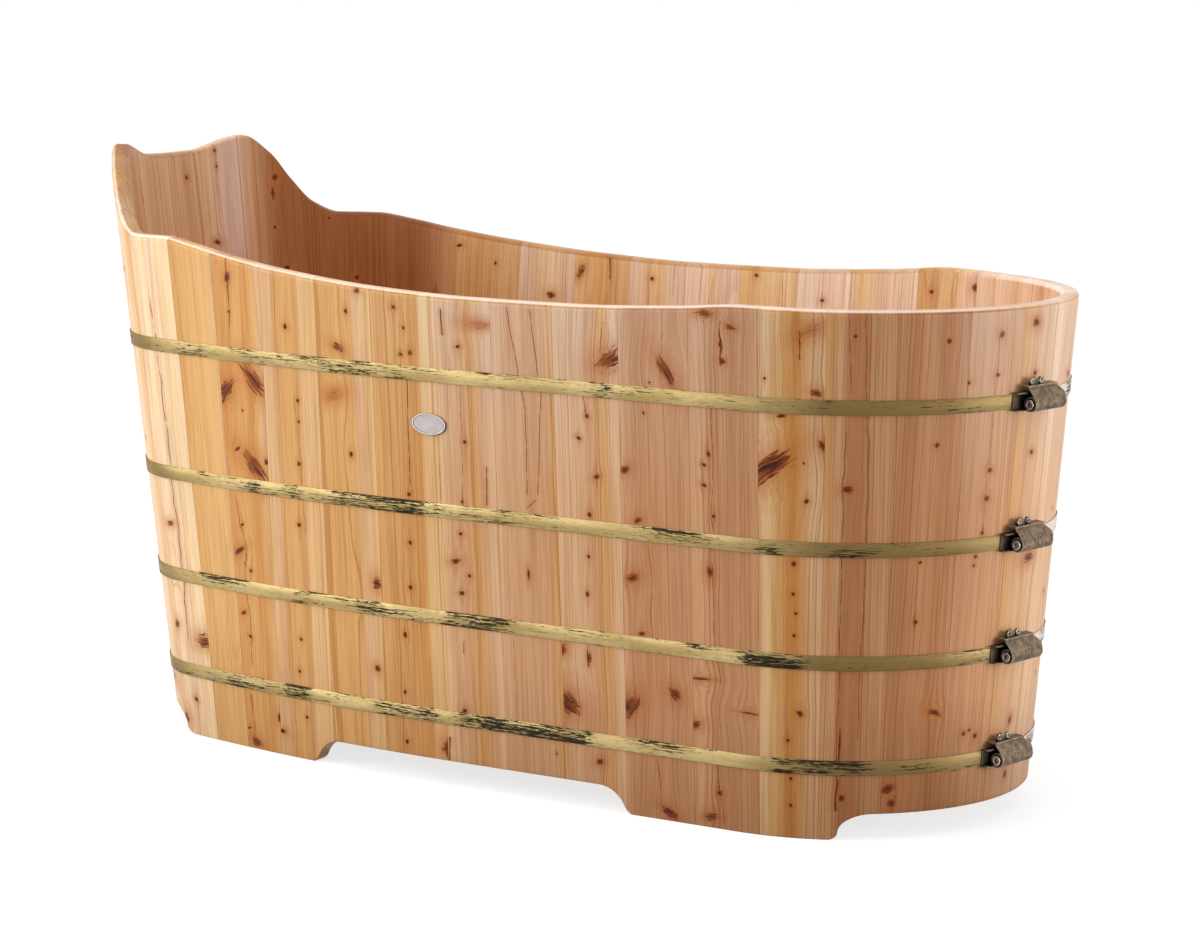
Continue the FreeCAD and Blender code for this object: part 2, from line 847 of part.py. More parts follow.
def make_badge():
    """A bare oval plate with a raised lip, flat on the wall."""
    girth = badge_girth_share * half_girth
    origin, normal = outline(girth, badge_height_share * foot_height, badge_gap, -1)
    plate = oval(badge_half_length, badge_half_height, 0, badge_thickness)
    field = oval(
        badge_half_length - badge_lip_width,
        badge_half_height - badge_lip_width,
        badge_thickness - badge_lip_height,
        badge_thickness + overrun,
    )
    badge = plate.cut(field)
    badge.Placement = wall_placement(origin, normal)
    return badge


def make_nodes():
    nodes = {}
    for count, stave in enumerate(make_staves(), 1):
        nodes["stave_%02d" % count] = stave
    saddles = []
    eyelets = []
    for count, top_share in enumerate(hoop_top_shares, 1):
        nodes["hoop_%d" % count] = make_hoop(top_share)
        nodes["clamp_housing_%d" % count] = make_housing(top_share)
        nodes["clamp_screw_%d" % count] = make_screw(top_share)
        saddles.append(make_saddle(top_share))
        eyelets += make_eyelets(top_share)
    nodes["clamp_saddles"] = Part.makeCompound(saddles)
    nodes["clamp_eyelets"] = Part.makeCompound(eyelets)
    boards, drain_board = make_floor_boards()
    nodes["floor_boards"] = Part.makeCompound(boards)
    nodes["drain_board"] = drain_board
    nodes["floor_battens"] = Part.makeCompound(make_battens())
    nodes["drain_body"] = make_drain_body()
    nodes["drain_gasket"] = make_gasket()
    nodes["drain_nut"] = make_nut()
    nodes["drain_stopper"] = make_stopper()
    nodes["badge_plate"] = make_badge()
    return nodes


def middle_shift(nodes):
    """The move along X that puts the origin over the middle of the bounding box."""
    boxes = [shape.optimalBoundingBox(False, False) for shape in nodes.values()]
    return -(min(box.XMin for box in boxes) + max(box.XMax for box in boxes)) / 2


nodes = make_nodes()
shift = FreeCAD.Vector(middle_shift(nodes), 0, 0)
os.makedirs("parts", exist_ok=True)
for name, shape in nodes.items():
    shape.translate(shift)
    shape.exportStep("parts/%s.step" % name)
print("nodes", len(nodes), "shift along X", round(shift.x, 3))
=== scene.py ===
import math
import random

import bmesh
import bpy
from mathutils import Matrix, Vector


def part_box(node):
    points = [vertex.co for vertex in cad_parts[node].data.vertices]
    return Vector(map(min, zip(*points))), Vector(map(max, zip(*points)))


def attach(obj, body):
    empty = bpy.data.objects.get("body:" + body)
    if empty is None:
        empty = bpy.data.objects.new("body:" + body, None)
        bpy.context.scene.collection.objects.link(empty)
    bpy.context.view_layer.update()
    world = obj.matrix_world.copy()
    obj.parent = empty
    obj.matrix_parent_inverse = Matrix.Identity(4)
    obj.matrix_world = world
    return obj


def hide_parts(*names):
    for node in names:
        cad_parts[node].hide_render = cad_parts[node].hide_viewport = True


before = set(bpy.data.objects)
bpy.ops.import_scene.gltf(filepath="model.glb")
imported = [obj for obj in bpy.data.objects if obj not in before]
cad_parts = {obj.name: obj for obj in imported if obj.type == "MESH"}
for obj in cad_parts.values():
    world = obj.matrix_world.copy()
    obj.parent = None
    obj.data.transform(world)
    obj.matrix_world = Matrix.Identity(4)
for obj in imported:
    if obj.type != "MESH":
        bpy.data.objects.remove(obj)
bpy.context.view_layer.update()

# Lengths below are in millimetres until a mesh is made; mm turns them into metres
mm = 0.001

# The tub's outline, wall and rim, with the same sizes as the construction
half_width = 279.8
straight_length = 462.2
side_radius = 2427.0
corner_radius = 129.6
side_arc_angle = math.radians(12.0)
corner_arc_end = math.radians(49.1)
wall_lean_share = 0.074
head_lean_share = 0.052
wall_thickness = 26.0
rim_radius = 7.5
side_height = 717.0
foot_height = 734.0
ear_height = 891.0
rim_line_shares = (
    (0, 0.868), (0.03, 0.876), (0.084, 1), (0.108, 0.835), (0.126, 0.59), (0.146, 0.375), (0.168, 0.287),
    (0.205, 0.292), (0.235, 0.25), (0.273, 0.181), (0.33, 0.103), (0.42, 0.026), (0.5, 0), (0.59, 0.008),
    (0.68, 0.057), (0.735, 0.103), (0.8, 0.095), (1, 0.098),
)
first_joint_share = 0.1061
stave_width_shares = (
    0.92, 0.96, 1.05, 1.00, 1.02, 1.02, 1.01, 1.06, 1.10, 1.06, 0.95, 1.00, 1.03, 0.99,
    1.07, 1.05, 1.08, 1.04, 1.06, 1.07, 1.05,
    0.98, 1.00, 0.97, 1.00, 0.99, 1.00, 0.98, 0.98,
    0.95, 0.97, 0.94, 0.96, 0.95, 0.94, 0.96, 0.97, 0.95,
)
joint_drift_shares = (
    (0, 0), (0.21, 0), (0.31, 0.0257), (0.42, 0.021), (0.527, 0.0126), (0.64, 0.009), (0.75, 0.0015),
    (0.8, 0), (1, 0),
)
arch_height = 37.0
arch_curve_length = 62.0
end_arch_curve_length = 38.0
arch_inflection_share = 0.32
side_arch_from_foot_arc = 160.0
side_arch_length = 574.0
head_arch_half_width = 229.0
foot_arch_half_width = 256.0
head_arch_depth = 190.0
floor_level = 58.0
floor_thickness = 20.0
groove_depth = 9.0
floor_clearance = 0.25
hoop_top_shares = (0.8356, 0.5699, 0.3553, 0.1540)
hoop_width = 20.5
hoop_thickness = 1.5
hoop_clearance = 0.4
hoop_end_gap = 12.0
clamp_angle = 80.0
drain_from_foot_arc = 90.0

square_angle = math.pi / 2
end_radius = (
    half_width
    - side_radius * (1 - math.cos(side_arc_angle))
    - corner_radius * (math.cos(side_arc_angle) - math.cos(corner_arc_end))
) / math.cos(corner_arc_end)
side_centre_y = half_width - side_radius
corner_centre_x = (side_radius - corner_radius) * math.sin(side_arc_angle)
corner_centre_y = side_centre_y + (side_radius - corner_radius) * math.cos(side_arc_angle)
end_centre_x = corner_centre_x + (corner_radius - end_radius) * math.sin(corner_arc_end)
head_stretches = (
    (end_radius, end_centre_x, 0, square_angle, corner_arc_end),
    (corner_radius, corner_centre_x, corner_centre_y, corner_arc_end, side_arc_angle),
    (side_radius, 0, side_centre_y, side_arc_angle, 0),
)
# The stretches after those: the straight side and the foot end's quarter circle
straight_stretch, foot_stretch = 3, 4
up = Vector((0, 0, 1))

# The foot arc's centre, read from the drain's place in the frame
drain_low, drain_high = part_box("drain_body")
foot_arc_x = (drain_low.x + drain_high.x) / 2 / mm - drain_from_foot_arc


def stretch_point(stretch, share, height, outset, side):
    """A point of the outline, and its horizontal outward normal."""
    growth = wall_lean_share * height + outset
    straight = straight_length + head_lean_share * height
    if stretch == foot_stretch:
        angle = square_angle * share
        normal = Vector((math.sin(angle), side * math.cos(angle), 0))
        point = normal * (half_width + growth) + up * height
    elif stretch == straight_stretch:
        normal = Vector((0, side, 0))
        point = Vector((-straight * (1 - share), side * (half_width + growth), height))
    else:
        radius, centre_x, centre_y, start, end = head_stretches[stretch]
        angle = start + (end - start) * share
        normal = Vector((-math.sin(angle), side * math.cos(angle), 0))
        point = Vector((-straight - centre_x, side * centre_y, height)) + normal * (radius + growth)
    return point + Vector((foot_arc_x, 0, 0)), normal


def stretch_lengths(height):
    growth = wall_lean_share * height
    lengths = [(arc[0] + growth) * (arc[3] - arc[4]) for arc in head_stretches]
    straight = straight_length + head_lean_share * height
    return lengths + [straight, (half_width + growth) * square_angle]


reference_lengths = stretch_lengths(foot_height)
half_girth = sum(reference_lengths)
full_turn = 2 * half_girth


def outline(girth, height, side):
    """The outline at a girth measured on the reference outline from the head's middle."""
    stretch = 0
    while stretch < foot_stretch and girth > reference_lengths[stretch]:
        girth -= reference_lengths[stretch]
        stretch += 1
    return stretch_point(stretch, girth / reference_lengths[stretch], height, 0, side)


def fold(girth):
    """Turns a girth round the whole tub into one from the head's middle, and its side."""
    girth = girth % full_turn
    if girth <= half_girth:
        return girth, -1
    return full_turn - girth, 1


def step_at(table, place):
    """The index of the table's step that holds a place."""
    index = 0
    while index < len(table) - 2 and place > table[index + 1][0]:
        index += 1
    return index


def slope_between(table, index):
    return (table[index + 1][1] - table[index][1]) / (table[index + 1][0] - table[index][0])


def straight_value(table, place):
    index = step_at(table, place)
    return table[index][1] + slope_between(table, index) * (place - table[index][0])


def smooth_value(table, place):
    """A smooth curve through a table, level at its ends and peaks."""
    index = step_at(table, place)
    slopes = []
    for knot in (index, index + 1):
        slope = 0
        if 0 < knot < len(table) - 1:
            before, after = slope_between(table, knot - 1), slope_between(table, knot)
            if before * after > 0:
                slope = 2 * before * after / (before + after)
        slopes.append(slope)
    start, end = table[index], table[index + 1]
    width = end[0] - start[0]
    t = (place - start[0]) / width
    return (
        start[1] * (1 + 2 * t) * (1 - t) ** 2
        + slopes[0] * width * t * (1 - t) ** 2
        + end[1] * t * t * (3 - 2 * t)
        + slopes[1] * width * t * t * (t - 1)
    )


def rim_height(girth):
    rise = smooth_value(rim_line_shares, girth / half_girth)
    return side_height + rise * (ear_height - side_height)


def joint_drift(girth):
    return half_girth * straight_value(joint_drift_shares, girth / half_girth)


def wall_column(full_girth):
    """The wall's upright line at a girth: foot point, rise per millimetre, normal and crown height."""
    girth, side = fold(full_girth)
    top, top_normal = outline(girth, foot_height, side)
    low, low_normal = outline(girth - joint_drift(girth), 0, side)
    return low, (top - low) / foot_height, (top_normal + low_normal).normalized(), rim_height(girth)


# Feet: the arches reach this far below the ground, so that their curves end on it at a slant
arch_overlap = 2.0


def arch_profile(along, start, end, curve_length):
    """Height of the sawn edge at a distance along an arch, zero outside it."""
    reach = min(along - start, end - along)
    rise = arch_height + arch_overlap
    if reach <= 0:
        return 0
    if reach >= curve_length:
        return arch_height
    radius_sum = (curve_length ** 2 + rise ** 2) / (2 * rise)
    turn = math.asin(min(1, curve_length / radius_sum))
    if rise > curve_length:
        turn = math.pi - turn
    low_radius = radius_sum * arch_inflection_share
    high_radius = radius_sum - low_radius
    if reach < low_radius * math.sin(turn):
        height = low_radius - math.sqrt(max(0, low_radius ** 2 - reach ** 2))
    else:
        back = curve_length - reach
        height = rise - high_radius + math.sqrt(max(0, high_radius ** 2 - back ** 2))
    return max(0, height - arch_overlap)


def foot_edge(point):
    """Height of the sawn lower edge above a point of the wall, counted from the floor."""
    x = point.x - foot_arc_x
    if x > 0:
        return arch_profile(point.y, -foot_arch_half_width, foot_arch_half_width, end_arch_curve_length)
    if x < -(end_centre_x + straight_length + end_radius - head_arch_depth):
        return arch_profile(point.y, -head_arch_half_width, head_arch_half_width, end_arch_curve_length)
    side_end = -side_arch_from_foot_arc
    return arch_profile(x, side_end - side_arch_length, side_end, arch_curve_length)


# Meshes


def mesh_object(name, vertices, faces, sharp_angle=35.0, **attributes):
    mesh = bpy.data.meshes.new(name)
    mesh.from_pydata([tuple(vertex * mm) for vertex in vertices], [], faces)
    mesh.validate()
    bm = bmesh.new()
    bm.from_mesh(mesh)
    bmesh.ops.recalc_face_normals(bm, faces=bm.faces)
    bm.to_mesh(mesh)
    bm.free()
    mesh.shade_smooth()
    mesh.set_sharp_from_angle(angle=math.radians(sharp_angle))
    for key, values in attributes.items():
        mesh.attributes.new(key, "FLOAT", "POINT").data.foreach_set("value", values)
    return link(bpy.data.objects.new(name, mesh))


def link(thing):
    bpy.context.scene.collection.objects.link(thing)
    return thing


def tube_faces(sections, ring):
    """Quads between sections of so many points each, and a face at both ends."""
    count = sections * ring
    faces = []
    for first in range(0, count - ring, ring):
        second = first + ring
        for k in range(ring):
            after = (k + 1) % ring
            faces.append((first + k, second + k, second + after, first + after))
    return faces + [tuple(range(ring)), tuple(range(count - 1, count - 1 - ring, -1))]


def dress(piece, material, node):
    piece.data.materials.append(material)
    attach(piece, "tub")
    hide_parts(node)


joint_chamfer = 0.45
joint_half_gap = 0.04
foot_chamfer = 1.2
rim_steps = 7
# The rim's painted tone fades out this far below its rounding
rim_fade = 2.0
# Heights of the rows of points up the outer face
outer_rows = (45.0, 90.0, 200.0, 330.0, 460.0, 590.0)
# The inner face has no rows below the floor's groove
inner_rows = outer_rows[:1:-1]


def stave_profile(column, drop):
    """Points round the wall's upright section; drop draws them in along a joint's edge."""
    low, rise, normal, crown = column
    outer, inner = drop, wall_thickness - drop
    shoulder = crown - drop - rim_radius

    def at(height, inset):
        return low + rise * height - normal * inset

    def rim_quarter(steps, face, inward):
        for step in steps:
            angle = square_angle * step / rim_steps
            inset = face + inward * rim_radius * (1 - math.cos(angle))
            points.append(at(shoulder + rim_radius * math.sin(angle), inset))

    outer_foot = foot_edge(low) + drop
    inner_foot = foot_edge(low - normal * wall_thickness) + drop
    points = [at(outer_foot, outer + foot_chamfer), at(outer_foot + foot_chamfer, outer)]
    points += [at(row, outer) for row in outer_rows + (shoulder - rim_fade,)]
    rim_quarter(range(rim_steps + 1), outer, 1)
    rim_quarter(range(rim_steps, -1, -1), inner, -1)
    points += [at(row, inner) for row in (shoulder - rim_fade,) + inner_rows]
    groove_high = floor_level + floor_thickness + floor_clearance
    groove_low = floor_level - floor_clearance
    groove_bottom = wall_thickness - groove_depth
    return points + [
        at(groove_high, inner),
        at(groove_high, groove_bottom),
        at(groove_low, groove_bottom),
        at(groove_low, inner),
        at(inner_foot + foot_chamfer, inner),
        at(inner_foot, inner - foot_chamfer),
    ]


# How far apart a stave's upright columns of points lie, and where an arch's curve crosses it
plain_column_step = 8.0
fine_column_step = 1.6
# A stave's foot is probed at this many steps, and is level where it rises less than this
probe_steps = 24
level_rise = 0.01


def needs_fine_columns(start, width):
    """Whether an arch's curve crosses a stave."""
    heights = []
    for step in range(probe_steps + 1):
        low, rise, normal, crown = wall_column(start + width * step / probe_steps)
        heights += [foot_edge(low), foot_edge(low - normal * wall_thickness)]
    return max(heights) - min(heights) > level_rise


# How pale (above zero) or how dark (below it) the lacquered wood is painted, by girth round the whole tub as
# a share of
# half of it: on the rim's outer shoulder, top and inner shoulder, on the outer and inner face under the rim,
# and on the feet. Pale is a painted highlight on the rim and a painted sheen on the faces; dark is painted
# shade, and on the rim's top also darker end grain
shoulder_highlights = (
    (0, 0.2), (0.1, 0.5), (0.16, 1), (0.9, 1), (1, 0.4), (1.1, 0), (1.9, 0), (2, 0.2),
)
top_tones = (
    (0, -0.3), (0.06, -0.6), (0.16, -0.5), (0.24, 0), (0.35, 0.45), (0.8, 0.6), (0.95, 0.4), (1.05, 0.45),
    (1.2, 0.3), (1.3, -0.2), (1.8, -0.35), (1.92, 0.15), (2, -0.1),
)
inner_tones = (
    (0, -0.35), (0.2, -0.6), (0.9, -0.3), (0.97, 0.4), (1.03, 0.9), (1.17, 0.8), (1.24, 0), (1.3, -0.35),
    (1.8, -0.5), (1.92, -0.1), (2, -0.35),
)
face_sheen = (
    (0, 0), (0.38, 0), (0.46, 0.26), (0.7, 0.3), (0.77, 0.12), (0.8, 0), (0.86, 0.06), (0.91, 0.3),
    (1, 0.3), (1.1, 0.1), (1.2, 0), (2, 0),
)
inner_face_sheen = ((0.0, 0.0), (1.2, 0.0), (1.35, 0.12), (1.60, 0.28), (1.70, 0.28), (1.76, 0.0), (2.0, 0.0))
foot_shade = ((0.0, -0.35), (0.8, -0.35), (0.92, -0.80), (1.1, -0.80), (1.3, -0.35), (2.0, -0.35))


def tone_column(share, ring):
    """The painted tone at each point of one upright section of a stave: highlight, sheen and shade."""
    shoulder, top, inner, face, inner_face, foot = (
        straight_value(table, share)
        for table in (shoulder_highlights, top_tones, inner_tones, face_sheen, inner_face_sheen, foot_shade)
    )
    # Feet: painted shade. Outer face under the rim: painted sheen; outer shoulder: a painted dark line under
    # the painted highlight. Top: painted highlight round the foot end, end grain and painted shade towards
    # the head. Inner shoulder: painted shade, with a painted highlight at the foot end. Inner face under the
    # rim: painted sheen
    column = [foot, foot, foot * 0.8, foot * 0.6] + [0.0] * (len(outer_rows) - 3)
    column += [0.5 * face, face, face, face, -0.45 * shoulder, 0.2 * shoulder, shoulder, shoulder]
    column += [(shoulder + top) / 2, top, top, top, (top + inner) / 2, inner, inner, inner, inner]
    column += [inner_face, inner_face, 0.5 * inner_face]
    return column + [0.0] * (ring - len(column))


def make_stave(name, start, width):
    step = fine_column_step if needs_fine_columns(start, width) else plain_column_step
    count = max(4, round(width / step))
    margin = joint_half_gap + joint_chamfer
    places = [(start + joint_half_gap, joint_chamfer)]
    places += [(start + margin + (width - 2 * margin) * k / count, 0) for k in range(count + 1)]
    places.append((start + width - joint_half_gap, joint_chamfer))
    profiles = [stave_profile(wall_column(girth), drop) for girth, drop in places]
    ring = len(profiles[0])
    tones = []
    for girth, drop in places:
        tones += tone_column(girth / half_girth % 2, ring)
    return mesh_object(name, sum(profiles, []), tube_faces(len(places), ring), tone=tones)


# Camera, solved from the photograph's perspective

camera_azimuth = math.radians(31.0)
camera_elevation = math.radians(8.719)
camera_roll = math.radians(0.695)
camera_distance = 5293.7
camera_target = Vector((35.73, 0, 442.76))
camera_lens = 107.07
camera_sensor = 36.0


def make_camera():
    sin_a, cos_a = math.sin(camera_azimuth), math.cos(camera_azimuth)
    sin_e, cos_e = math.sin(camera_elevation), math.cos(camera_elevation)
    back = Vector((sin_a * cos_e, -cos_a * cos_e, sin_e))
    right = Vector((cos_a, sin_a, 0))
    upward = back.cross(right)
    turned_right = right * math.cos(camera_roll) + upward * math.sin(camera_roll)
    turned_up = upward * math.cos(camera_roll) - right * math.sin(camera_roll)
    data = bpy.data.cameras.new("camera")
    data.lens = camera_lens
    data.sensor_width = camera_sensor
    data.clip_end = 100
    camera = link(bpy.data.objects.new("camera", data))
    place = (camera_target + back * camera_distance) * mm
    axes = Matrix((turned_right, turned_up, back)).transposed()
    camera.matrix_world = Matrix.Translation(place) @ axes.to_4x4()
    bpy.context.scene.camera = camera


# Colours are written as they look on screen, and turned into the linear values that shaders take


def screen(red, green, blue):
    def linear(value):
        value /= 255
        if value <= 0.04045:
            return value / 12.92
        return ((value + 0.055) / 1.055) ** 2.4

    return (linear(red), linear(green), linear(blue), 1)


class Value:
    """What a socket gives out. Arithmetic on it adds math nodes, and a product plus a term is one node."""

    def __init__(self, nodes, output=None, factors=None):
        self.nodes = nodes
        self.output = output
        self.factors = factors

    def socket(self):
        """The output socket. A product gets its own node only when this is asked for."""
        if self.output is None:
            self.output = self.nodes.math("MULTIPLY", *self.factors).output
        return self.output

    def __mul__(self, other):
        return Value(self.nodes, factors=(self, other))

    def __add__(self, other):
        if self.output is None:
            return self.nodes.math("MULTIPLY_ADD", *self.factors, other)
        return self.nodes.math("ADD", self, other)

    def __sub__(self, other):
        return self.nodes.math("SUBTRACT", self, other)

    def __rsub__(self, other):
        return self.nodes.math("SUBTRACT", other, self)

    def __truediv__(self, other):
        return self.nodes.math("DIVIDE", self, other)

    def __abs__(self):
        return self.nodes.math("ABSOLUTE", self)

    __rmul__ = __mul__
    __radd__ = __add__


class Nodes:
    """Short calls for building a node tree."""

    def __init__(self, tree):
        self.tree = tree

    def add(self, kind, inputs=None, **settings):
        node = self.tree.nodes.new(kind)
        for key, value in settings.items():
            setattr(node, key, value)
        for key, value in (inputs or {}).items():
            self.feed(node.inputs[key], value)
        return node

    def feed(self, socket, value):
        if isinstance(value, Value):
            self.tree.links.new(value.socket(), socket)
        elif value is not None:
            socket.default_value = value

    def made(self, kind, inputs=None, output=0, **settings):
        """A new node's output."""
        return Value(self, self.add(kind, inputs, **settings).outputs[output])

    def math(self, operation, *values, clamp=False):
        return self.made("ShaderNodeMath", dict(enumerate(values)), operation=operation, use_clamp=clamp)

    def most(self, first, *others):
        """The largest of its values."""
        other = self.most(*others) if len(others) > 1 else others[0]
        return self.math("MAXIMUM", first, other)

    def vector(self, operation, a, b=None, scale=None):
        output = "Value" if operation in ("LENGTH", "DOT_PRODUCT") else 0
        return self.made("ShaderNodeVectorMath", {0: a, 1: b, 3: scale}, output, operation=operation)

    def split(self, value):
        return [Value(self, output) for output in self.add("ShaderNodeSeparateXYZ", {0: value}).outputs]

    def join(self, x, y, z):
        return self.made("ShaderNodeCombineXYZ", {0: x, 1: y, 2: z})

    def noise(self, place, detail=2.0, roughness=0.5, scale=1.0, output="Fac", distortion=0.0):
        if isinstance(place, tuple):
            place = self.join(*place)
        inputs = {"Vector": place, "Scale": scale, "Detail": detail, "Roughness": roughness}
        return self.made("ShaderNodeTexNoise", inputs | {"Distortion": distortion}, output)

    def remap(self, value, low, high, to_low=0.0, to_high=1.0, curve="SMOOTHSTEP"):
        inputs = {"Value": value, "From Min": low, "From Max": high, "To Min": to_low, "To Max": to_high}
        return self.made("ShaderNodeMapRange", inputs, "Result", interpolation_type=curve)

    def mix(self, factor, a, b, blend="MIX"):
        return self.made("ShaderNodeMix", {0: factor, 6: a, 7: b}, 2, data_type="RGBA", blend_type=blend)

    def bell(self, value, width):
        """A smooth hump of the given half width round zero."""
        ratio = value / width
        return self.math("EXPONENT", ratio * ratio * -1.0)

    def attribute(self, name):
        return self.made("ShaderNodeAttribute", output="Fac", attribute_name=name)

    def group(self, tree, **values):
        node = self.add("ShaderNodeGroup", values, node_tree=tree)
        return {output.name: Value(self, output) for output in node.outputs}

    def finish_group(self, **values):
        self.add("NodeGroupOutput", values)
        return self.tree

    def bevel(self, radius):
        return self.made("ShaderNodeBevel", {"Radius": radius * mm}, samples=shading_samples)

    def corner(self, reach):
        """How sheltered a point is by what lies within reach, from 0 in the open to 1."""
        inputs = {"Distance": reach * mm}
        return 1.0 - self.made("ShaderNodeAmbientOcclusion", inputs, "AO", samples=shading_samples)

    def millimetres(self):
        """The piece's own coordinates in millimetres."""
        return self.vector("SCALE", self.made("ShaderNodeTexCoord", output="Object"), scale=1 / mm)

    def bump(self, height, strength, depth=0.2, normal=None):
        inputs = {"Strength": strength, "Distance": depth * mm, "Height": height, "Normal": normal}
        return self.made("ShaderNodeBump", inputs)

    def surface(self, colour, roughness, metallic=0.0, specular=0.5, normal=None):
        inputs = {"Base Color": colour, "Roughness": roughness, "Metallic": metallic, "Normal": normal}
        shader = self.made("ShaderNodeBsdfPrincipled", inputs | {"Specular IOR Level": specular})
        self.add("ShaderNodeOutputMaterial", {"Surface": shader})


shading_samples = 6


def new_group(name, inputs, outputs):
    """A node group and its inputs. Sockets are listed with f for a number, v for a vector, c for a colour."""
    tree = bpy.data.node_groups.new(name, "ShaderNodeTree")
    kinds = {"f": "NodeSocketFloat", "v": "NodeSocketVector", "c": "NodeSocketColor"}
    for direction, items in (("INPUT", inputs), ("OUTPUT", outputs)):
        for item in items.split():
            kind, label = item.split(":")
            tree.interface.new_socket(label, in_out=direction, socket_type=kinds[kind])
    n = Nodes(tree)
    sockets = n.add("NodeGroupInput").outputs
    return n, *[Value(n, socket) for socket in sockets if socket.name]


def new_material(name):
    material = bpy.data.materials.new(name)
    material.use_nodes = True
    material.node_tree.nodes.clear()
    return material, Nodes(material.node_tree)


def knot_group():
    """One knot: darkens its core, tints a halo with tails along the grain, and bends the grain round it."""
    n, grain, dark, halo, centre, size, aspect, angle, tail, rough, streak, strength = new_group(
        "knot",
        "v:Grain f:Dark f:Halo v:Centre f:Size f:Aspect f:Angle f:Tail f:Rough f:Streak f:Strength",
        "v:Grain f:Dark f:Halo",
    )
    x, y, z = n.split(n.vector("SUBTRACT", grain, centre))
    turned = {"Vector": n.join(x, y, 0.0), "Angle": angle}
    turned_x, turned_y, turned_z = n.split(n.made("ShaderNodeVectorRotate", turned, rotation_type="Z_AXIS"))
    unit = n.join(turned_x / size, turned_y / (size * aspect), 0.0)
    shifted = n.vector("ADD", unit, n.vector("SCALE", centre, scale=0.37))
    wobble = n.vector("SUBTRACT", n.noise(shifted, 3.0, scale=1.4, output="Color"), (0.5, 0.5, 0.5))
    rough_x, rough_y, rough_z = n.split(n.vector("ADD", unit, n.vector("SCALE", wobble, scale=rough)))
    radius = n.vector("LENGTH", n.join(rough_x, rough_y, 0.0))
    fray = n.noise((rough_x * 0.55, rough_y * 2.3, size * 3.1), 3.0, 0.55, scale=1.7)
    body = n.remap(radius + (0.5 - fray) * (streak * 2.4), 1.30, 0.66)
    outline_mark = n.bell(radius - 0.84, 0.13) * n.remap(fray, 0.40, 0.62, 0.15, 0.6)
    plain = n.most(n.remap(radius, 0.92, 0.22) * 0.74 + 0.20, outline_mark)
    streaks = n.remap(fray, 0.49, 0.62, 0.24, 0.84)
    shade = (streaks - plain) * streak + plain
    tail_x = (n.noise(shifted, scale=0.9) - 0.5) * 1.3 + x / size
    tail_radius = n.vector("LENGTH", n.join(tail_x * 1.5, y / (size * tail), 0.0))
    near = n.bell(radius, 2.1) * (streak * 0.28 + 0.70)
    reach = n.bell(y, size * (aspect * 1.4 + 1.6)) * n.bell(x, size * 3.2)
    push = n.math("TANH", tail_x) * (size * (streak * -0.6 + 0.85)) * reach
    return n.finish_group(
        Grain=n.vector("SUBTRACT", grain, n.join(push, 0.0, 0.0)),
        Dark=n.most(dark, body * shade * (strength * strength)),
        Halo=n.most(halo, n.most(near, n.bell(tail_radius, 1.0) * 0.66)),
    )


def line_group():
    """One long dark line that wanders along the grain, as a pitch seam or a fine crack."""
    n, grain, dark, halo, start, end, width, wander, strength = new_group(
        "line", "v:Grain f:Dark f:Halo v:Start v:End f:Width f:Wander f:Strength", "f:Dark f:Halo"
    )
    x, y, z = n.split(grain)
    # Each line follows the one before it, which keeps the shader's memory small
    y = dark * 0.01 + y
    start_x, start_y, start_z = n.split(start)
    end_x, end_y, end_z = n.split(end)
    share = (y - start_y) / (end_y - start_y)
    line_x = (end_x - start_x) * share + start_x
    line_x = (n.noise((start_x, y * 0.016, start_y)) - 0.5) * wander + line_x
    gap = abs(x - line_x)
    fade = n.remap(n.noise((start_x, y * 0.05, 7.0)), 0.3, 0.6, 0.35, 1.0)
    window = n.remap(share, 0.0, 0.06) * n.remap(share, 1.0, 0.94) * fade * strength
    mask = n.remap(gap / width, 1.0, 0.25) * window
    glow = n.bell(gap, width * 5.0) * window * 0.45
    return n.finish_group(Dark=n.most(dark, mask), Halo=n.most(halo, glow))


# What pale and deep wood do to a board's base colour
board_pale = (1.07, 1.09, 1.13, 1)
board_deep = (0.76, 0.62, 0.49, 1)


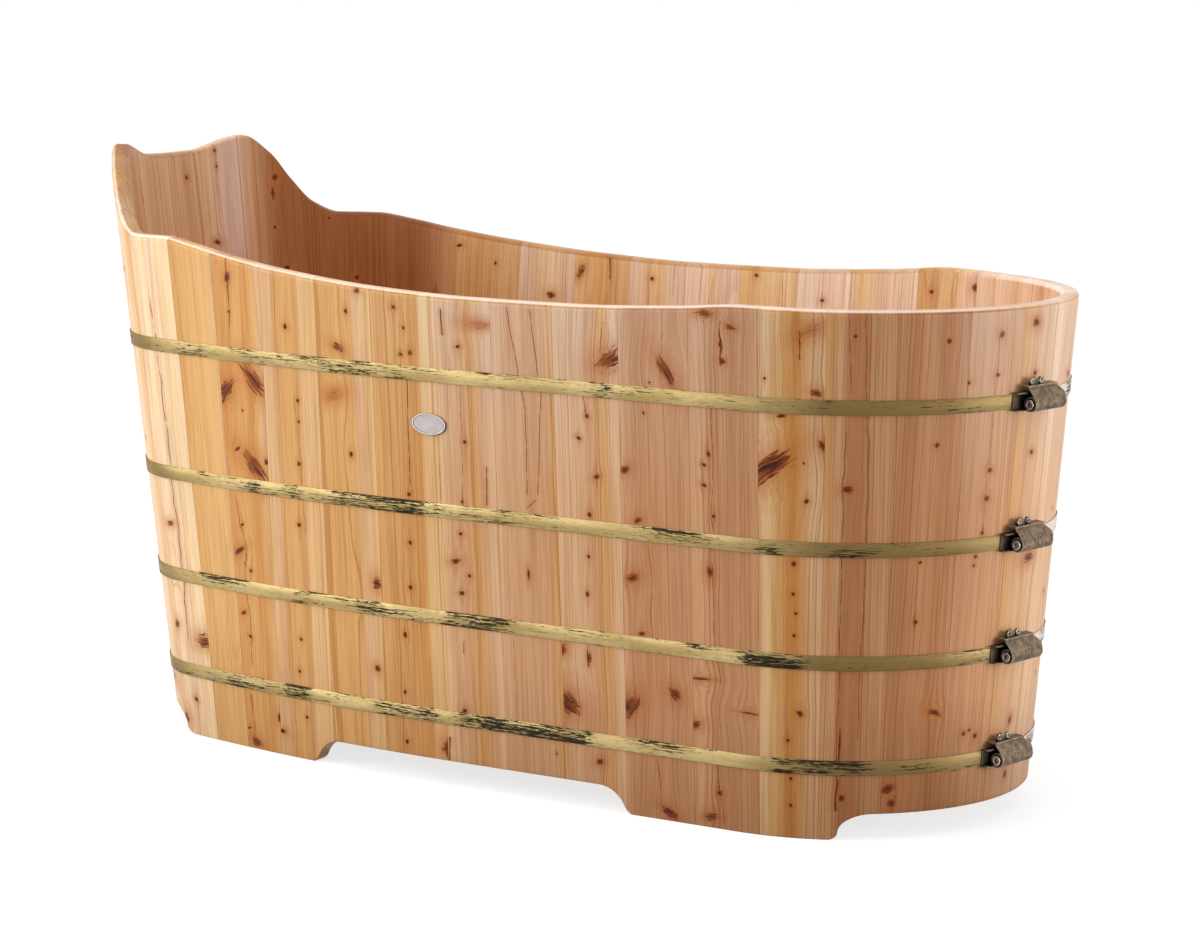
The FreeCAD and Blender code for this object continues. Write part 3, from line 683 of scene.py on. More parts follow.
def board_group():
    """The board itself: growth rings cut at a slant, fibres and soft cloudy tone over a base colour."""
    n, grain, seed, pith, slant, ring, contrast, figure, base = new_group(
        "board", "v:Grain f:Seed v:Pith f:Slant f:Ring f:Contrast f:Figure c:Base", "c:Color f:Height f:Line"
    )
    x, y, z = n.split(grain)
    pith_x, pith_y, pith_z = n.split(pith)
    slow = n.noise((x * 0.012, y * 0.0026, seed)) - 0.5
    quick = n.noise((x * 0.07, y * 0.011, seed + 5.0)) - 0.5
    depth = slow * figure + (z - pith_z + y * slant)
    radius = quick * 1.6 + n.vector("LENGTH", n.join(x - pith_x, depth, 0.0))
    # The rings lie unevenly, and only a few of them are strong
    season = n.noise((radius * 0.09, seed, 3.0))
    phase = (season * (ring * 4.5) + radius) / ring
    part = n.math("FRACT", phase)
    place = n.join(n.math("FLOOR", phase), seed, 0.0)
    chance = n.made("ShaderNodeTexWhiteNoise", {"Vector": place}, "Value", noise_dimensions="2D")
    strength = n.math("POWER", chance, 3.5) * 1.35 + 0.09
    line = n.remap(part, 0.68, 0.93) * n.remap(part, 1.0, 0.95) * strength
    fibre = n.noise((x * 0.36, y * 0.0055, z * 0.5 + seed), 4.0, 0.66) - 0.5
    cloud = n.noise((x * 0.020, y * 0.0045, seed + 11.0), 3.0) - 0.5
    band = n.noise((x * 0.085, y * 0.0010, seed + 23.0)) - 0.5
    tone = band + (cloud * 0.50 + (line * 2.5 * contrast + 0.24))
    tone = n.math("MULTIPLY_ADD", fibre, 2.6, tone, clamp=True)
    pale = n.mix(1.0, base, board_pale, "MULTIPLY")
    deep = n.mix(1.0, base, board_deep, "MULTIPLY")
    return n.finish_group(Color=n.mix(tone, pale, deep), Height=line * -0.5 + fibre * 0.6, Line=line)


knot_tree = knot_group()
line_tree = line_group()
board_tree = board_group()

knot_core = screen(48, 16, 4)
knot_ring = screen(140, 66, 22)
amber_stain = screen(192, 112, 44)
russet_stain = screen(180, 102, 52)

# The rim's lacquer gets a paler painted highlight and the faces under it a paler painted sheen, end grain
# and painted shade on the rim's inner edge and on the feet look darker, and a dark joint of this half width
# lies between boards, in millimetres
rim_highlight = screen(250, 228, 210)
rim_highlight_share = 0.85
shade_and_end_grain = (0.42, 0.30, 0.20, 1)
painted_sheen_tint = (1.06, 1.24, 1.60, 1)
board_joint = 0.9

# How far a colour's edge strays from its straight line along the board, in millimetres
stop_wander = 9.0


def colour_stops(n, place, stops):
    """A colour that runs across a board through (percent of the width, tone) stops."""
    node = n.add("ShaderNodeValToRGB", {0: place})
    elements = node.color_ramp.elements
    elements.remove(elements[1])
    elements[0].position = stops[0][0] / 100
    elements[0].color = wood_tones[stops[0][1]]
    for percent, tone in stops[1:]:
        elements.new(percent / 100).color = wood_tones[tone]
    return Value(n, node.outputs[0])


def wood_material(
    name, place, rotation, width, stops, stain, board, knots=(), lines=(), rim=False, next_board=0.0,
    inner_stops=None,
):
    """Wood whose own axes are across the board, along it and out of its face, in millimetres.

    With next_board, boards of this width lie side by side, each shifted along the last by that much.
    The inner stops are those of the face turned to the water, where it differs by painted shade and sheen.
    """
    material, n = new_material(name)
    where = {"Vector": n.made("ShaderNodeTexCoord", output="Object"), "Location": place}
    where |= {"Rotation": rotation, "Scale": (mm, mm, mm)}
    grain, dark, halo = n.made("ShaderNodeMapping", where, vector_type="TEXTURE"), 0.0, 0.0
    if next_board:
        x, y, z = n.split(grain)
        number = n.math("ROUND", x / width)
        x = number * -width + x
        y = number * next_board + y
        dark = n.remap(abs(x), width / 2 - board_joint, width / 2 - board_joint / 3, 0.0, 0.6)
        grain = n.join(x, y, z)
    x, y, z = n.split(grain)
    wander = n.noise((x * 0.02, y * 0.004, board["Seed"])) - 0.5
    share = (wander * stop_wander + x) * (1 / width) + 0.5
    base = colour_stops(n, share, stops)
    # Where given, the inner stops paint shade and sheen on the face turned to the water
    if inner_stops:
        base = n.mix(n.remap(z, -6.0, -12.0), base, colour_stops(n, share, inner_stops))
    for knot in knots:
        marked = n.group(knot_tree, Grain=grain, Dark=dark, Halo=halo, **knot)
        grain, dark, halo = marked["Grain"], marked["Dark"], marked["Halo"]
    for line in lines:
        marked = n.group(line_tree, Grain=grain, Dark=dark, Halo=halo, **line)
        dark, halo = marked["Dark"], marked["Halo"]
    wood = n.group(board_tree, Grain=grain, Base=base, **board)
    stained = n.mix(wood["Line"] * 0.5, stain, knot_ring)
    colour = n.mix(halo * 0.85, wood["Color"], stained)
    colour = n.mix(n.remap(dark, 0.0, 0.45), colour, knot_ring)
    colour = n.mix(n.remap(dark, 0.35, 0.95), colour, knot_core)
    roughness = wood["Line"] * -0.06 + 0.42
    if rim:
        # The tone attribute paints light and shade on the staves: below zero painted shade, with end grain on
        # the rim's top; up to 0.3 a painted sheen; above that the rim's painted highlight
        tone = n.attribute("tone")
        colour = n.mix(n.remap(tone, 0.0, -1.0, curve="LINEAR"), colour, shade_and_end_grain, "MULTIPLY")
        colour = n.mix(n.remap(tone, 0.0, 0.3, curve="LINEAR"), colour, painted_sheen_tint, "MULTIPLY")
        colour = n.mix(n.remap(tone, 0.3, 1.0, 0.0, rim_highlight_share, "LINEAR"), colour, rim_highlight)
        roughness = n.most(tone, 0.0) * -0.20 + roughness
    normal = n.bump(dark * -1.2 + wood["Height"], strength=0.22, depth=0.3)
    n.surface(colour, roughness, specular=0.2, normal=normal)
    return material


# Tones of the wood, as they look on screen
wood_tones = {
    "cream": screen(246, 214, 168),
    "wheat": screen(229, 185, 130),
    "shell": screen(222, 178, 136),
    "blond": screen(226, 177, 114),
    "honey": screen(221, 169, 105),
    "tan": screen(214, 160, 100),
    "orange": screen(212, 151, 86),
    "amber": screen(203, 136, 70),
    "pink": screen(211, 162, 119),
    "rose": screen(203, 150, 107),
    "clay": screen(194, 142, 100),
    "brown": screen(182, 124, 80),
    "umber": screen(164, 104, 58),
    "pale": screen(240, 206, 172),
    "petal": screen(232, 192, 156),
    "mauve": screen(222, 186, 166),
}

# Each stave seen from the clamps' side: colour stops from the head end to the foot end, as percent of the
# width and tone by turns, ring width, contrast of the rings and how far they wander into arches
front_staves = (
    ("0 tan 12 honey 30 blond 82 blond 90 wheat", 13, 0.4, 46),
    ("0 tan 10 orange 45 honey 70 orange 84 blond 92 shell", 8, 0.4, 16),
    ("0 wheat 18 shell 24 tan 46 honey 62 tan 70 wheat", 4.8, 0.6, 6),
    ("0 blond 16 honey 34 honey 60 honey 78 shell 84 wheat", 6, 0.5, 12),
    ("0 honey 16 tan 50 tan 78 orange 84 wheat", 4.4, 0.65, 6),
    ("0 wheat 18 shell 40 pink 66 tan 80 pink 90 shell", 5.2, 0.45, 6),
    ("0 shell 20 pink 52 pink 82 pink 100 tan", 7, 0.4, 14),
    ("0 shell 26 shell 52 pink 78 tan 86 shell", 4.8, 0.6, 6),
    ("0 pink 22 clay 46 rose 78 clay 100 rose", 4.6, 0.6, 7),
    ("0 rose 16 pink 34 clay 62 clay 82 clay 100 rose", 4.4, 0.6, 7),
    ("0 shell 24 wheat 38 tan 56 amber 68 tan 82 shell", 4.6, 0.4, 8),
    ("0 tan 22 pink 34 brown 54 brown 64 clay 76 rose 100 clay", 4.4, 0.6, 8),
    ("0 clay 22 brown 44 clay 70 brown 100 clay", 4.4, 0.55, 6),
    ("0 rose 12 clay 50 rose 84 pink 100 rose", 4.4, 0.5, 6),
    ("0 tan 26 pink 60 shell 100 petal", 5.4, 0.5, 8),
)

# The same for the staves beyond the foot end and round the head: tones evenly spread across each board
far_staves = (
    "shell pink shell", "petal shell petal", "shell pink petal", "shell petal petal", "petal wheat tan",
    "pale petal wheat", "pale petal pale", "wheat wheat honey", "petal wheat petal", "shell honey shell",
    "tan orange honey", "shell wheat shell", "tan tan orange", "tan orange tan", "orange tan amber",
    "honey tan orange", "honey tan honey", "shell tan shell", "shell pink shell", "shell pink shell",
    "pink rose shell", "wheat pale wheat", "pale cream pale cream cream",
)
# Inner faces that differ: where the head's wall turns away from the light they get painted shade, and beside
# that a painted sheen
inner_shade_and_sheen = {
    29: "tan brown umber", 30: "umber umber umber", 31: "umber umber umber", 32: "umber umber clay",
    33: "pink mauve mauve shell",
}

# What shows on the staves: girth from the head's middle, height, half width, height for its width,
# turn in degrees, length of the tails, roughness of the outline and streaks inside
front_knots = (
    (526, 717, 5.5, 1.5, 20, 9, 0.6, 0.2), (523, 666, 2.6, 1, 0, 7, 0.4, 0),
    (634, 653, 4.2, 1.3, 0, 7, 0.5, 0), (751, 684, 3.4, 1.3, -15, 4, 0.5, 0),
    (731, 630, 7.5, 0.6, 20, 1.4, 0.9, 0.8), (774, 715, 4.6, 0.8, 0, 3, 0.6, 0.5),
    (837, 696, 4, 0.8, 20, 4, 0.6, 0.4), (851, 667, 2.6, 1.2, 0, 9, 0.4, 0),
    (859, 632, 3.6, 1.1, 25, 3, 0.6, 0.4), (843, 629, 3.2, 1, 0, 2, 0.6, 0.7),
    (560, 567, 25, 0.4, 46, 1.2, 0.9, 0.6), (507, 547, 21, 0.5, -42, 1.2, 0.9, 0.55),
    (530, 520, 1.9, 1.2, 0, 10, 0.3, 0), (513, 461, 7.5, 0.36, -30, 2, 0.6, 0.1),
    (570, 447, 5.2, 0.9, 20, 2, 0.7, 0.3), (545, 437, 24, 0.45, 42, 1.2, 1, 0.7),
    (645, 545, 3.2, 1.1, 0, 6, 0.3, 0), (643, 514, 2.6, 1.1, 0, 8, 0.3, 0),
    (636, 451, 3.4, 1.2, 0, 7, 0.5, 0), (715, 560, 13, 0.5, -15, 0.8, 0.9, 0.85),
    (738, 475, 3.8, 1.2, 0, 4, 0.5, 0.2), (837, 426, 3.8, 1.1, 0, 8, 0.5, 0.1),
    (508, 346, 4.4, 0.6, -35, 5, 0.5, 0), (496, 306, 13, 0.34, -30, 1.3, 0.7, 0.25),
    (625, 359, 4, 1, 0, 7, 0.4, 0.1), (513, 277, 3.4, 0.9, 30, 6, 0.5, 0),
    (765, 288, 6, 1.3, 0, 2, 0.8, 0.5), (832, 355, 3.6, 1.1, 0, 8, 0.4, 0.1),
    (826, 289, 4.2, 0.9, -20, 6, 0.5, 0.1), (338, 328, 7.5, 0.5, 0, 1.6, 0.9, 0.6),
    (607, 185, 3.2, 1, 0, 6, 0.3, 0), (598, 135, 3, 1.1, 0, 7, 0.3, 0),
    (491, 210, 5.5, 0.6, -25, 3, 0.7, 0.3), (500, 175, 4, 0.7, 30, 5, 0.6, 0.2),
    (752, 160, 5, 1, 30, 2.6, 0.8, 0.4), (809, 217, 4, 1.3, -10, 6, 0.5, 0.1),
    (800, 131, 3.4, 1.1, 10, 7, 0.4, 0), (395, 152, 13, 0.6, 0, 0.8, 0.9, 0.75),
    (322, 170, 6.5, 0.9, -20, 1.6, 0.8, 0.3), (547, 57, 5.2, 1.6, 10, 4, 0.7, 0.1),
    (550, 37, 7.5, 0.5, 5, 1.4, 0.7, 0.1), (604, 66, 3.2, 1, 0, 6, 0.4, 0),
    (478, 31, 5, 0.4, -25, 3, 0.5, 0), (492, 11, 9, 0.6, 20, 1.3, 0.9, 0.6),
    (310, 22, 10, 0.9, 0, 1, 0.7, 0.4), (796, 56, 3.6, 1.1, 0, 5, 0.4, 0.1),
    (868, 57, 6.5, 1.5, 15, 2, 0.9, 0.6), (359, 57, 4.4, 0.8, 30, 4, 0.7, 0.3),
    (942, 647, 4.4, 0.7, -20, 3, 0.5, 0.1), (982, 681, 15, 0.3, 0, 0.5, 0.8, 0.85),
    (1190, 645, 17, 0.62, -32, 0.9, 0.9, 0.75), (1255, 620, 2, 1, 0, 4, 0.3, 0),
    (1282, 637, 20, 0.36, 58, 1, 0.6, 0.5), (1345, 721, 10, 0.42, 0, 1, 0.8, 0.7),
    (1383, 705, 7.5, 0.42, 10, 1.6, 0.7, 0.5), (1368, 680, 3, 1.6, 0, 5, 0.6, 0.2),
    (1371, 658, 5, 0.9, 20, 4, 0.8, 0.4), (1434, 639, 2.2, 1, 0, 5, 0.3, 0),
    (1246, 577, 2.4, 1, 0, 5, 0.3, 0), (1152, 565, 3.4, 1.1, 0, 7, 0.4, 0.1),
    (1136, 533, 4, 0.7, 30, 3, 0.6, 0.2), (1163, 481, 5, 0.7, -25, 4, 0.6, 0.3),
    (1148, 426, 3.8, 1.1, 0, 6, 0.6, 0.2), (1210, 495, 7.5, 0.6, -30, 2, 0.8, 0.4),
    (1228, 425, 6.5, 0.6, -20, 2.4, 0.8, 0.3), (1346, 529, 3.2, 1.6, -20, 7, 0.5, 0.1),
    (1339, 513, 4.2, 0.7, 15, 3, 0.6, 0.1), (1338, 485, 4.4, 0.7, 15, 4, 0.6, 0.2),
    (1352, 443, 3, 1.2, 0, 7, 0.5, 0.1), (942, 511, 3.4, 1, 0, 10, 0.5, 0.1),
    (930, 424, 2.6, 1.1, 0, 8, 0.4, 0), (1440, 516, 31, 0.36, -36, 0.8, 1, 0.7),
    (923, 377, 3.8, 0.8, -15, 6, 0.5, 0.1), (911, 336, 8, 0.5, -15, 2.4, 0.7, 0.2),
    (932, 317, 3.4, 0.8, 20, 5, 0.5, 0.1), (917, 290, 5.2, 0.7, -10, 4, 0.6, 0.1),
    (1038, 330, 2.4, 3.4, 0, 5, 0.5, 0.3), (1143, 366, 3, 1.1, 0, 9, 0.4, 0.1),
    (1138, 312, 3.2, 1.5, 0, 8, 0.5, 0.1), (1216, 343, 9.5, 0.62, -25, 1.8, 0.8, 0.45),
    (1228, 265, 5.5, 0.6, -10, 3, 0.6, 0.3), (1344, 365, 5, 1.5, 0, 5, 0.7, 0.4),
    (1095, 150, 17, 0.8, 42, 0.8, 1, 0.55), (1090, 227, 5, 1.6, 20, 1.6, 0.8, 0.5),
    (1134, 220, 3.4, 2.2, 5, 3, 0.7, 0.4), (1203, 160, 17, 0.62, -55, 0.9, 0.9, 0.6),
    (1279, 185, 10, 0.8, 40, 1.2, 0.8, 0.5), (1312, 145, 9.5, 0.55, -15, 1.4, 0.8, 0.4),
    (1325, 212, 16, 0.14, -4, 0.6, 0.5, 0.3), (1405, 172, 14, 0.1, 3, 0.6, 0.4, 0.4),
    (906, 116, 5, 0.7, -20, 3, 0.6, 0.1), (1145, 71, 6, 0.7, -15, 2.4, 0.7, 0.3),
    (1069, 73, 1.6, 1.4, 0, 4, 0.3, 0), (1352, 52, 4.4, 0.9, 0, 5, 0.6, 0.3),
    (1265, 12, 12, 0.5, 35, 1.3, 0.9, 0.5), (1337, 16, 9, 0.5, -15, 2, 0.8, 0.6),
    (1505, 622, 6, 0.7, 20, 2, 0.8, 0.5), (1558, 700, 3, 1, 0, 10, 0.4, 0.1),
    (1689, 692, 4.6, 1, 10, 3, 0.6, 0.3), (1776, 697, 4.8, 1.1, 0, 5, 0.4, 0.3),
    (1774, 642, 4, 0.9, 0, 6, 0.5, 0.1), (1724, 634, 3.2, 1.1, 0, 6, 0.5, 0.3),
    (1846, 709, 7, 0.8, 25, 1.8, 0.7, 0.5), (1854, 639, 4, 0.8, 0, 4, 0.6, 0.3),
    (1455, 589, 7, 0.4, -10, 2, 0.6, 0.1), (1509, 550, 9, 0.7, 45, 1.6, 0.9, 0.3),
    (1479, 526, 2.2, 1, 0, 5, 0.3, 0), (1485, 474, 3.6, 1.1, 0, 5, 0.5, 0.1),
    (1553, 492, 6.5, 0.8, 0, 2.4, 0.8, 0.5), (1680, 551, 4, 1, 15, 3, 0.6, 0.2),
    (1864, 528, 4.4, 0.8, 0, 2, 0.6, 0.3), (1773, 511, 4.8, 0.9, 0, 5, 0.5, 0.2),
    (1771, 472, 4.8, 1, 0, 6, 0.5, 0.2), (1768, 424, 3.4, 1, 0, 7, 0.5, 0.1),
    (1476, 387, 4.2, 1, 0, 4, 0.6, 0.2), (1476, 345, 3.2, 1, 0, 5, 0.5, 0.1),
    (1480, 318, 2.6, 1, 0, 5, 0.5, 0.1), (1478, 287, 3, 1, 0, 5, 0.5, 0.1),
    (1664, 390, 2.8, 1.1, 0, 8, 0.4, 0.1), (1662, 307, 3.4, 1.1, 0, 9, 0.5, 0.1),
    (1759, 392, 3.2, 0.9, 0, 2, 0.8, 0.3), (1757, 380, 2.4, 0.9, 0, 2, 0.8, 0.3),
    (1887, 378, 11, 0.6, -10, 1.2, 0.9, 0.5), (1488, 178, 5, 0.8, 30, 3, 0.7, 0.3),
    (1469, 139, 3, 1, 0, 5, 0.4, 0.1), (1703, 177, 12, 0.36, 25, 1.2, 0.9, 0.4),
    (1762, 142, 3.4, 1, 0, 3, 0.8, 0.3), (1772, 146, 2.6, 0.9, 0, 2, 0.7, 0.3),
    (1787, 136, 3.8, 1.1, 20, 3, 0.8, 0.3), (1877, 147, 4, 1.4, 20, 3, 0.7, 0.4),
    (1474, 85, 3, 1, 0, 6, 0.4, 0.1), (1474, 47, 3, 1, 0, 5, 0.4, 0.1),
    (1630, 73, 10, 0.6, -25, 1, 0.9, 0.5), (1636, 52, 5, 1.2, -20, 2, 0.8, 0.3),
    (1749, 92, 2.8, 0.6, 0, 2, 0.6, 0.1), (1878, 68, 3.8, 1.4, 0, 3, 0.6, 0.3),
    (1556, 60, 4, 1.3, 0, 4, 0.6, 0.3), (1495, 705, 12, 0.5, -30, 1, 1, 0.9),
)

# The same for knots seen on the far wall's inner face, with girth from the head's middle
far_knots = (
    (30, 825, 3.6, 1.1, 0, 5, 0.5, 0.1), (100, 865, 2.6, 1.4, 0, 6, 0.4, 0),
    (101, 840, 2.2, 1.3, 0, 5, 0.4, 0), (210, 820, 5.2, 1.2, 0, 2, 0.8, 0.3),
    (205, 795, 3, 3.4, 0, 2, 0.8, 0.3), (204, 740, 2.8, 1.3, 0, 6, 0.5, 0.1),
    (90, 720, 6.5, 0.6, -15, 2, 0.8, 0.3), (220, 675, 6, 0.7, 10, 2, 0.8, 0.3),
    (350, 660, 4.6, 1, 0, 4, 0.7, 0.3), (305, 755, 2.4, 1.2, 0, 7, 0.4, 0),
    (540, 720, 5.5, 0.5, 15, 2, 0.7, 0.1), (605, 695, 2.6, 1.2, 0, 5, 0.4, 0.1),
    (705, 650, 6.5, 0.8, 0, 2, 0.8, 0.4), (760, 690, 9, 0.5, 60, 1.4, 0.9, 0.8),
    (805, 725, 2.2, 1, 0, 4, 0.4, 0), (1075, 703, 3.4, 1, 15, 5, 0.5, 0.2),
    (1190, 672, 3.4, 0.9, 10, 3, 0.6, 0.2), (1375, 697, 3.6, 1, 10, 4, 0.6, 0.2),
    (1450, 708, 6, 1.1, 10, 4, 0.6, 0.2),
)
near_head_knots = ((-120, 800, 3.4, 1.3, 0, 6, 0.5, 0.1),)

# Long lines: girth and height of the start and of the end, half width, wander and strength
front_lines = (
    (352, 700, 360, 130, 1.5, 18, 0.45), (527, 780, 523, 620, 1.1, 6, 0.55),
    (505, 400, 500, 120, 1.1, 10, 0.4), (490, 90, 487, 5, 1.2, 5, 0.6), (640, 560, 636, 340, 0.9, 5, 0.35),
    (851, 600, 838, 420, 1.2, 8, 0.6), (919, 700, 919, 660, 1.4, 2, 0.9), (942, 600, 930, 400, 0.8, 5, 0.4),
    (977, 480, 973, 420, 1.1, 3, 0.9), (1027, 712, 1050, 560, 1, 8, 0.6),
    (1050, 570, 1043, 440, 1, 6, 0.55), (1065, 712, 1078, 580, 1, 8, 0.55),
    (1077, 590, 1063, 440, 1, 6, 0.55), (1060, 440, 1041, 424, 1.2, 2, 0.5),
    (1185, 700, 1182, 655, 0.9, 3, 0.5), (1148, 600, 1153, 560, 0.9, 3, 0.5),
    (1134, 250, 1132, 205, 1.2, 3, 0.7), (1368, 715, 1370, 650, 1.6, 7, 0.75),
    (1352, 600, 1350, 420, 0.9, 6, 0.45), (1346, 420, 1350, 200, 0.9, 7, 0.4),
    (1350, 110, 1354, 5, 0.9, 6, 0.5), (1245, 400, 1243, 250, 0.9, 6, 0.4),
    (1400, 740, 1390, 60, 0.7, 6, 0.3), (1485, 708, 1484, 665, 1.3, 4, 0.7),
    (1547, 735, 1556, 620, 0.9, 9, 0.5), (1571, 735, 1578, 560, 0.9, 8, 0.5),
    (1548, 600, 1546, 60, 0.9, 7, 0.6), (1582, 580, 1578, 130, 0.9, 8, 0.5),
    (1551, 160, 1550, 110, 2.2, 4, 0.9), (1549, 90, 1548, 40, 2.2, 4, 0.8),
    (1662, 400, 1660, 240, 0.8, 4, 0.4), (1774, 720, 1768, 400, 0.9, 4, 0.35),
    (875, 75, 871, 37, 1.6, 3, 0.8), (1246, 90, 1256, 20, 0.9, 5, 0.5), (896, 520, 893, 420, 0.7, 3, 0.3),
    (914, 220, 912, 200, 1, 2, 0.5), (1003, 240, 1001, 110, 0.6, 3, 0.3),
    (1212, 700, 1240, 420, 0.5, 6, 0.2),
)
far_lines = (
    (812, 716, 812, 680, 1.6, 3, 0.9), (455, 700, 452, 620, 0.8, 4, 0.4),
    (930, 716, 926, 660, 0.7, 4, 0.35), (1120, 716, 1122, 640, 0.7, 4, 0.35),
)


class Stave:
    """One stave's place round the tub and its own axes: across, along and out of its face."""

    def __init__(self, number, start, width):
        self.number, self.start, self.width = number, start, width
        self.origin, rise, normal, self.crown = wall_column(start + width / 2)
        along = rise.normalized()
        out = (normal - along * normal.dot(along)).normalized()
        self.axes = Matrix((along.cross(out), along, out))
        self.knots, self.lines = [], []

    def holds(self, full_girth, height):
        """Whether a girth, level with a height, lies on this stave."""
        edges = []
        for joint in (self.start, self.start + self.width):
            girth, side = fold(joint)
            edges.append(joint + side * joint_drift(girth) * (1 - height / foot_height))
        return 0 <= (full_girth - edges[0]) % full_turn < (edges[1] - edges[0]) % full_turn

    def flat_point(self, full_girth, height):
        """A point of the wall by this stave's axes, drawn into its face's plane."""
        girth, side = fold(full_girth)
        place = self.axes @ (outline(girth, height, side)[0] - self.origin)
        return (place.x, place.y, 0.0)


def list_staves():
    average = full_turn / sum(stave_width_shares)
    start = first_joint_share * full_turn
    staves = []
    for number, share in enumerate(stave_width_shares, 1):
        staves.append(Stave(number, start, share * average))
        start += share * average
    return staves


staves = list_staves()

# The most streaked knots lie just under the surface and show as pale ghosts
ghost_streak = 0.82
ghost_strength = 0.55
# Streaked knots are larger than their dark cores
streak_growth = 0.3


def place_knot(full_girth, knot):
    girth, height, size, aspect, turn, tail, rough, streak = knot
    for stave in staves:
        if stave.holds(full_girth, height):
            stave.knots.append(
                dict(
                    Centre=stave.flat_point(full_girth, height), Size=size * (1 + streak_growth * streak),
                    Aspect=aspect, Angle=math.radians(turn), Tail=tail, Rough=rough, Streak=streak,
                    Strength=ghost_strength if streak > ghost_streak else 1.0,
                )
            )


def place_line(start_girth, end_girth, line):
    heights = line[1], line[3]
    for stave in staves:
        if stave.holds((start_girth + end_girth) / 2, sum(heights) / 2):
            start, end = stave.flat_point(start_girth, heights[0]), stave.flat_point(end_girth, heights[1])
            stave.lines.append(dict(Start=start, End=end, Width=line[4], Wander=line[5], Strength=line[6]))


def place_features():
    for knot in front_knots:
        place_knot(knot[0], knot)
    for knot in far_knots + near_head_knots:
        place_knot(full_turn - knot[0], knot)
    for line in front_lines:
        place_line(line[0], line[2], line)
    for line in far_lines:
        place_line(full_turn - line[0], full_turn - line[2], line)


# What a knot by chance can be: a long wedge or a round one on a stave, or one on a board that lies flat
most_turn = math.radians(40)
wedge_knot = dict(
    Size=(9, 15), Aspect=(0.4, 0.6), Angle=(-most_turn, most_turn), Tail=(1, 2), Rough=(0.7, 1.0),
    Streak=(0.4, 0.8),
)
round_knot = dict(
    Size=(2.2, 4.6), Aspect=(0.8, 1.4), Angle=(-most_turn, most_turn), Tail=(3, 8), Rough=(0.4, 0.6),
    Streak=(0.0, 0.3),
)
lying_knot = dict(Size=(2.4, 5.5), Aspect=(0.7, 1.3), Angle=(-0.6, 0.6), Tail=(3, 7), Streak=(0.0, 0.4))
wedge_chance = 0.18
# A stave by chance has up to this many knots, the highest of them this far below its crown
chance_knot_limit = 7
knotless_crown = 20


def chance_knot(x, y, ranges, chance):
    knot = dict(Centre=(x, y, 0.0), Rough=0.6, Strength=1.0)
    return knot | {key: chance.uniform(*ends) for key, ends in ranges.items()}


def add_chance_knots(stave, chance):
    """Knots for a stave that the photograph doesn't show."""
    height = chance.uniform(30, 160)
    x = chance.uniform(-0.3, 0.3) * stave.width
    while height < stave.crown - knotless_crown and len(stave.knots) < chance_knot_limit:
        ranges = wedge_knot if chance.random() < wedge_chance else round_knot
        stave.knots.append(chance_knot(x + chance.uniform(-9, 9), height, ranges, chance))
        height += chance.uniform(70, 190)
        if chance.random() < 0.3:
            x = chance.uniform(-0.35, 0.35) * stave.width


# Rings that wander less than this, in millimetres, belong to a straight-grained board
arched_figure = 12


def board_look(width, chance, ring, contrast, figure):
    aside, depth = chance.uniform(-0.3, 0.3), chance.uniform(70, 160)
    if figure < arched_figure:
        aside, depth = chance.choice((-1, 1)) * chance.uniform(0.6, 1.1), chance.uniform(35, 80)
    return dict(
        Seed=chance.uniform(0, 90),
        Pith=(aside * width, 0.0, chance.choice((-1, 1)) * depth),
        Slant=chance.uniform(-0.02, 0.02),
        Ring=ring,
        Contrast=contrast,
        Figure=figure,
    )


def listed_stops(text):
    """Colour stops from a text with the percent of the width and the tone by turns."""
    words = text.split()
    return [(float(percent), tone) for percent, tone in zip(words[::2], words[1::2])]


def spread_stops(text, chance):
    tones = text.split()
    return [(100 * (k + chance.uniform(0.2, 0.8)) / len(tones), tone) for k, tone in enumerate(tones)]


def stave_look(stave, chance):
    """The stave's colour stops, stain and settings: listed where the photograph shows them."""
    if stave.number <= len(front_staves):
        text, ring, contrast, figure = front_staves[stave.number - 1]
        stops = listed_stops(text)
    else:
        stops = spread_stops(far_staves[stave.number - len(front_staves) - 1], chance)
        ring = chance.uniform(4.0, 8.0)
        contrast = chance.uniform(0.3, 0.5)
        figure = chance.choice((6, 8, 12, 30))
    tones = [tone for percent, tone in stops]
    stain = russet_stain if "rose" in tones or "pink" in tones else amber_stain
    return stops, stain, board_look(stave.width, chance, ring, contrast, figure)


def dress_staves():
    place_features()
    for stave in staves:
        name = "stave_%02d" % stave.number
        chance = random.Random(100 + stave.number)
        stops, stain, look = stave_look(stave, chance)
        if not stave.knots and stave.number > len(front_staves):
            add_chance_knots(stave, chance)
        inner_stops = None
        if stave.number in inner_shade_and_sheen:
            inner_stops = spread_stops(inner_shade_and_sheen[stave.number], chance)
        rotation = stave.axes.transposed().to_euler()
        material = wood_material(
            "wood_" + name, stave.origin * mm, rotation, stave.width, stops, stain, look, stave.knots,
            stave.lines, rim=True, inner_stops=inner_stops,
        )
        dress(make_stave(name + "_board", stave.start, stave.width), material, name)


# Hoops

brass = screen(186, 162, 106)
brass_bright = screen(212, 189, 134)
brass_dull = screen(130, 107, 64)
brass_painted_reflection = screen(226, 214, 208)
brass_fine = screen(112, 94, 54)
brass_black = screen(24, 18, 12)

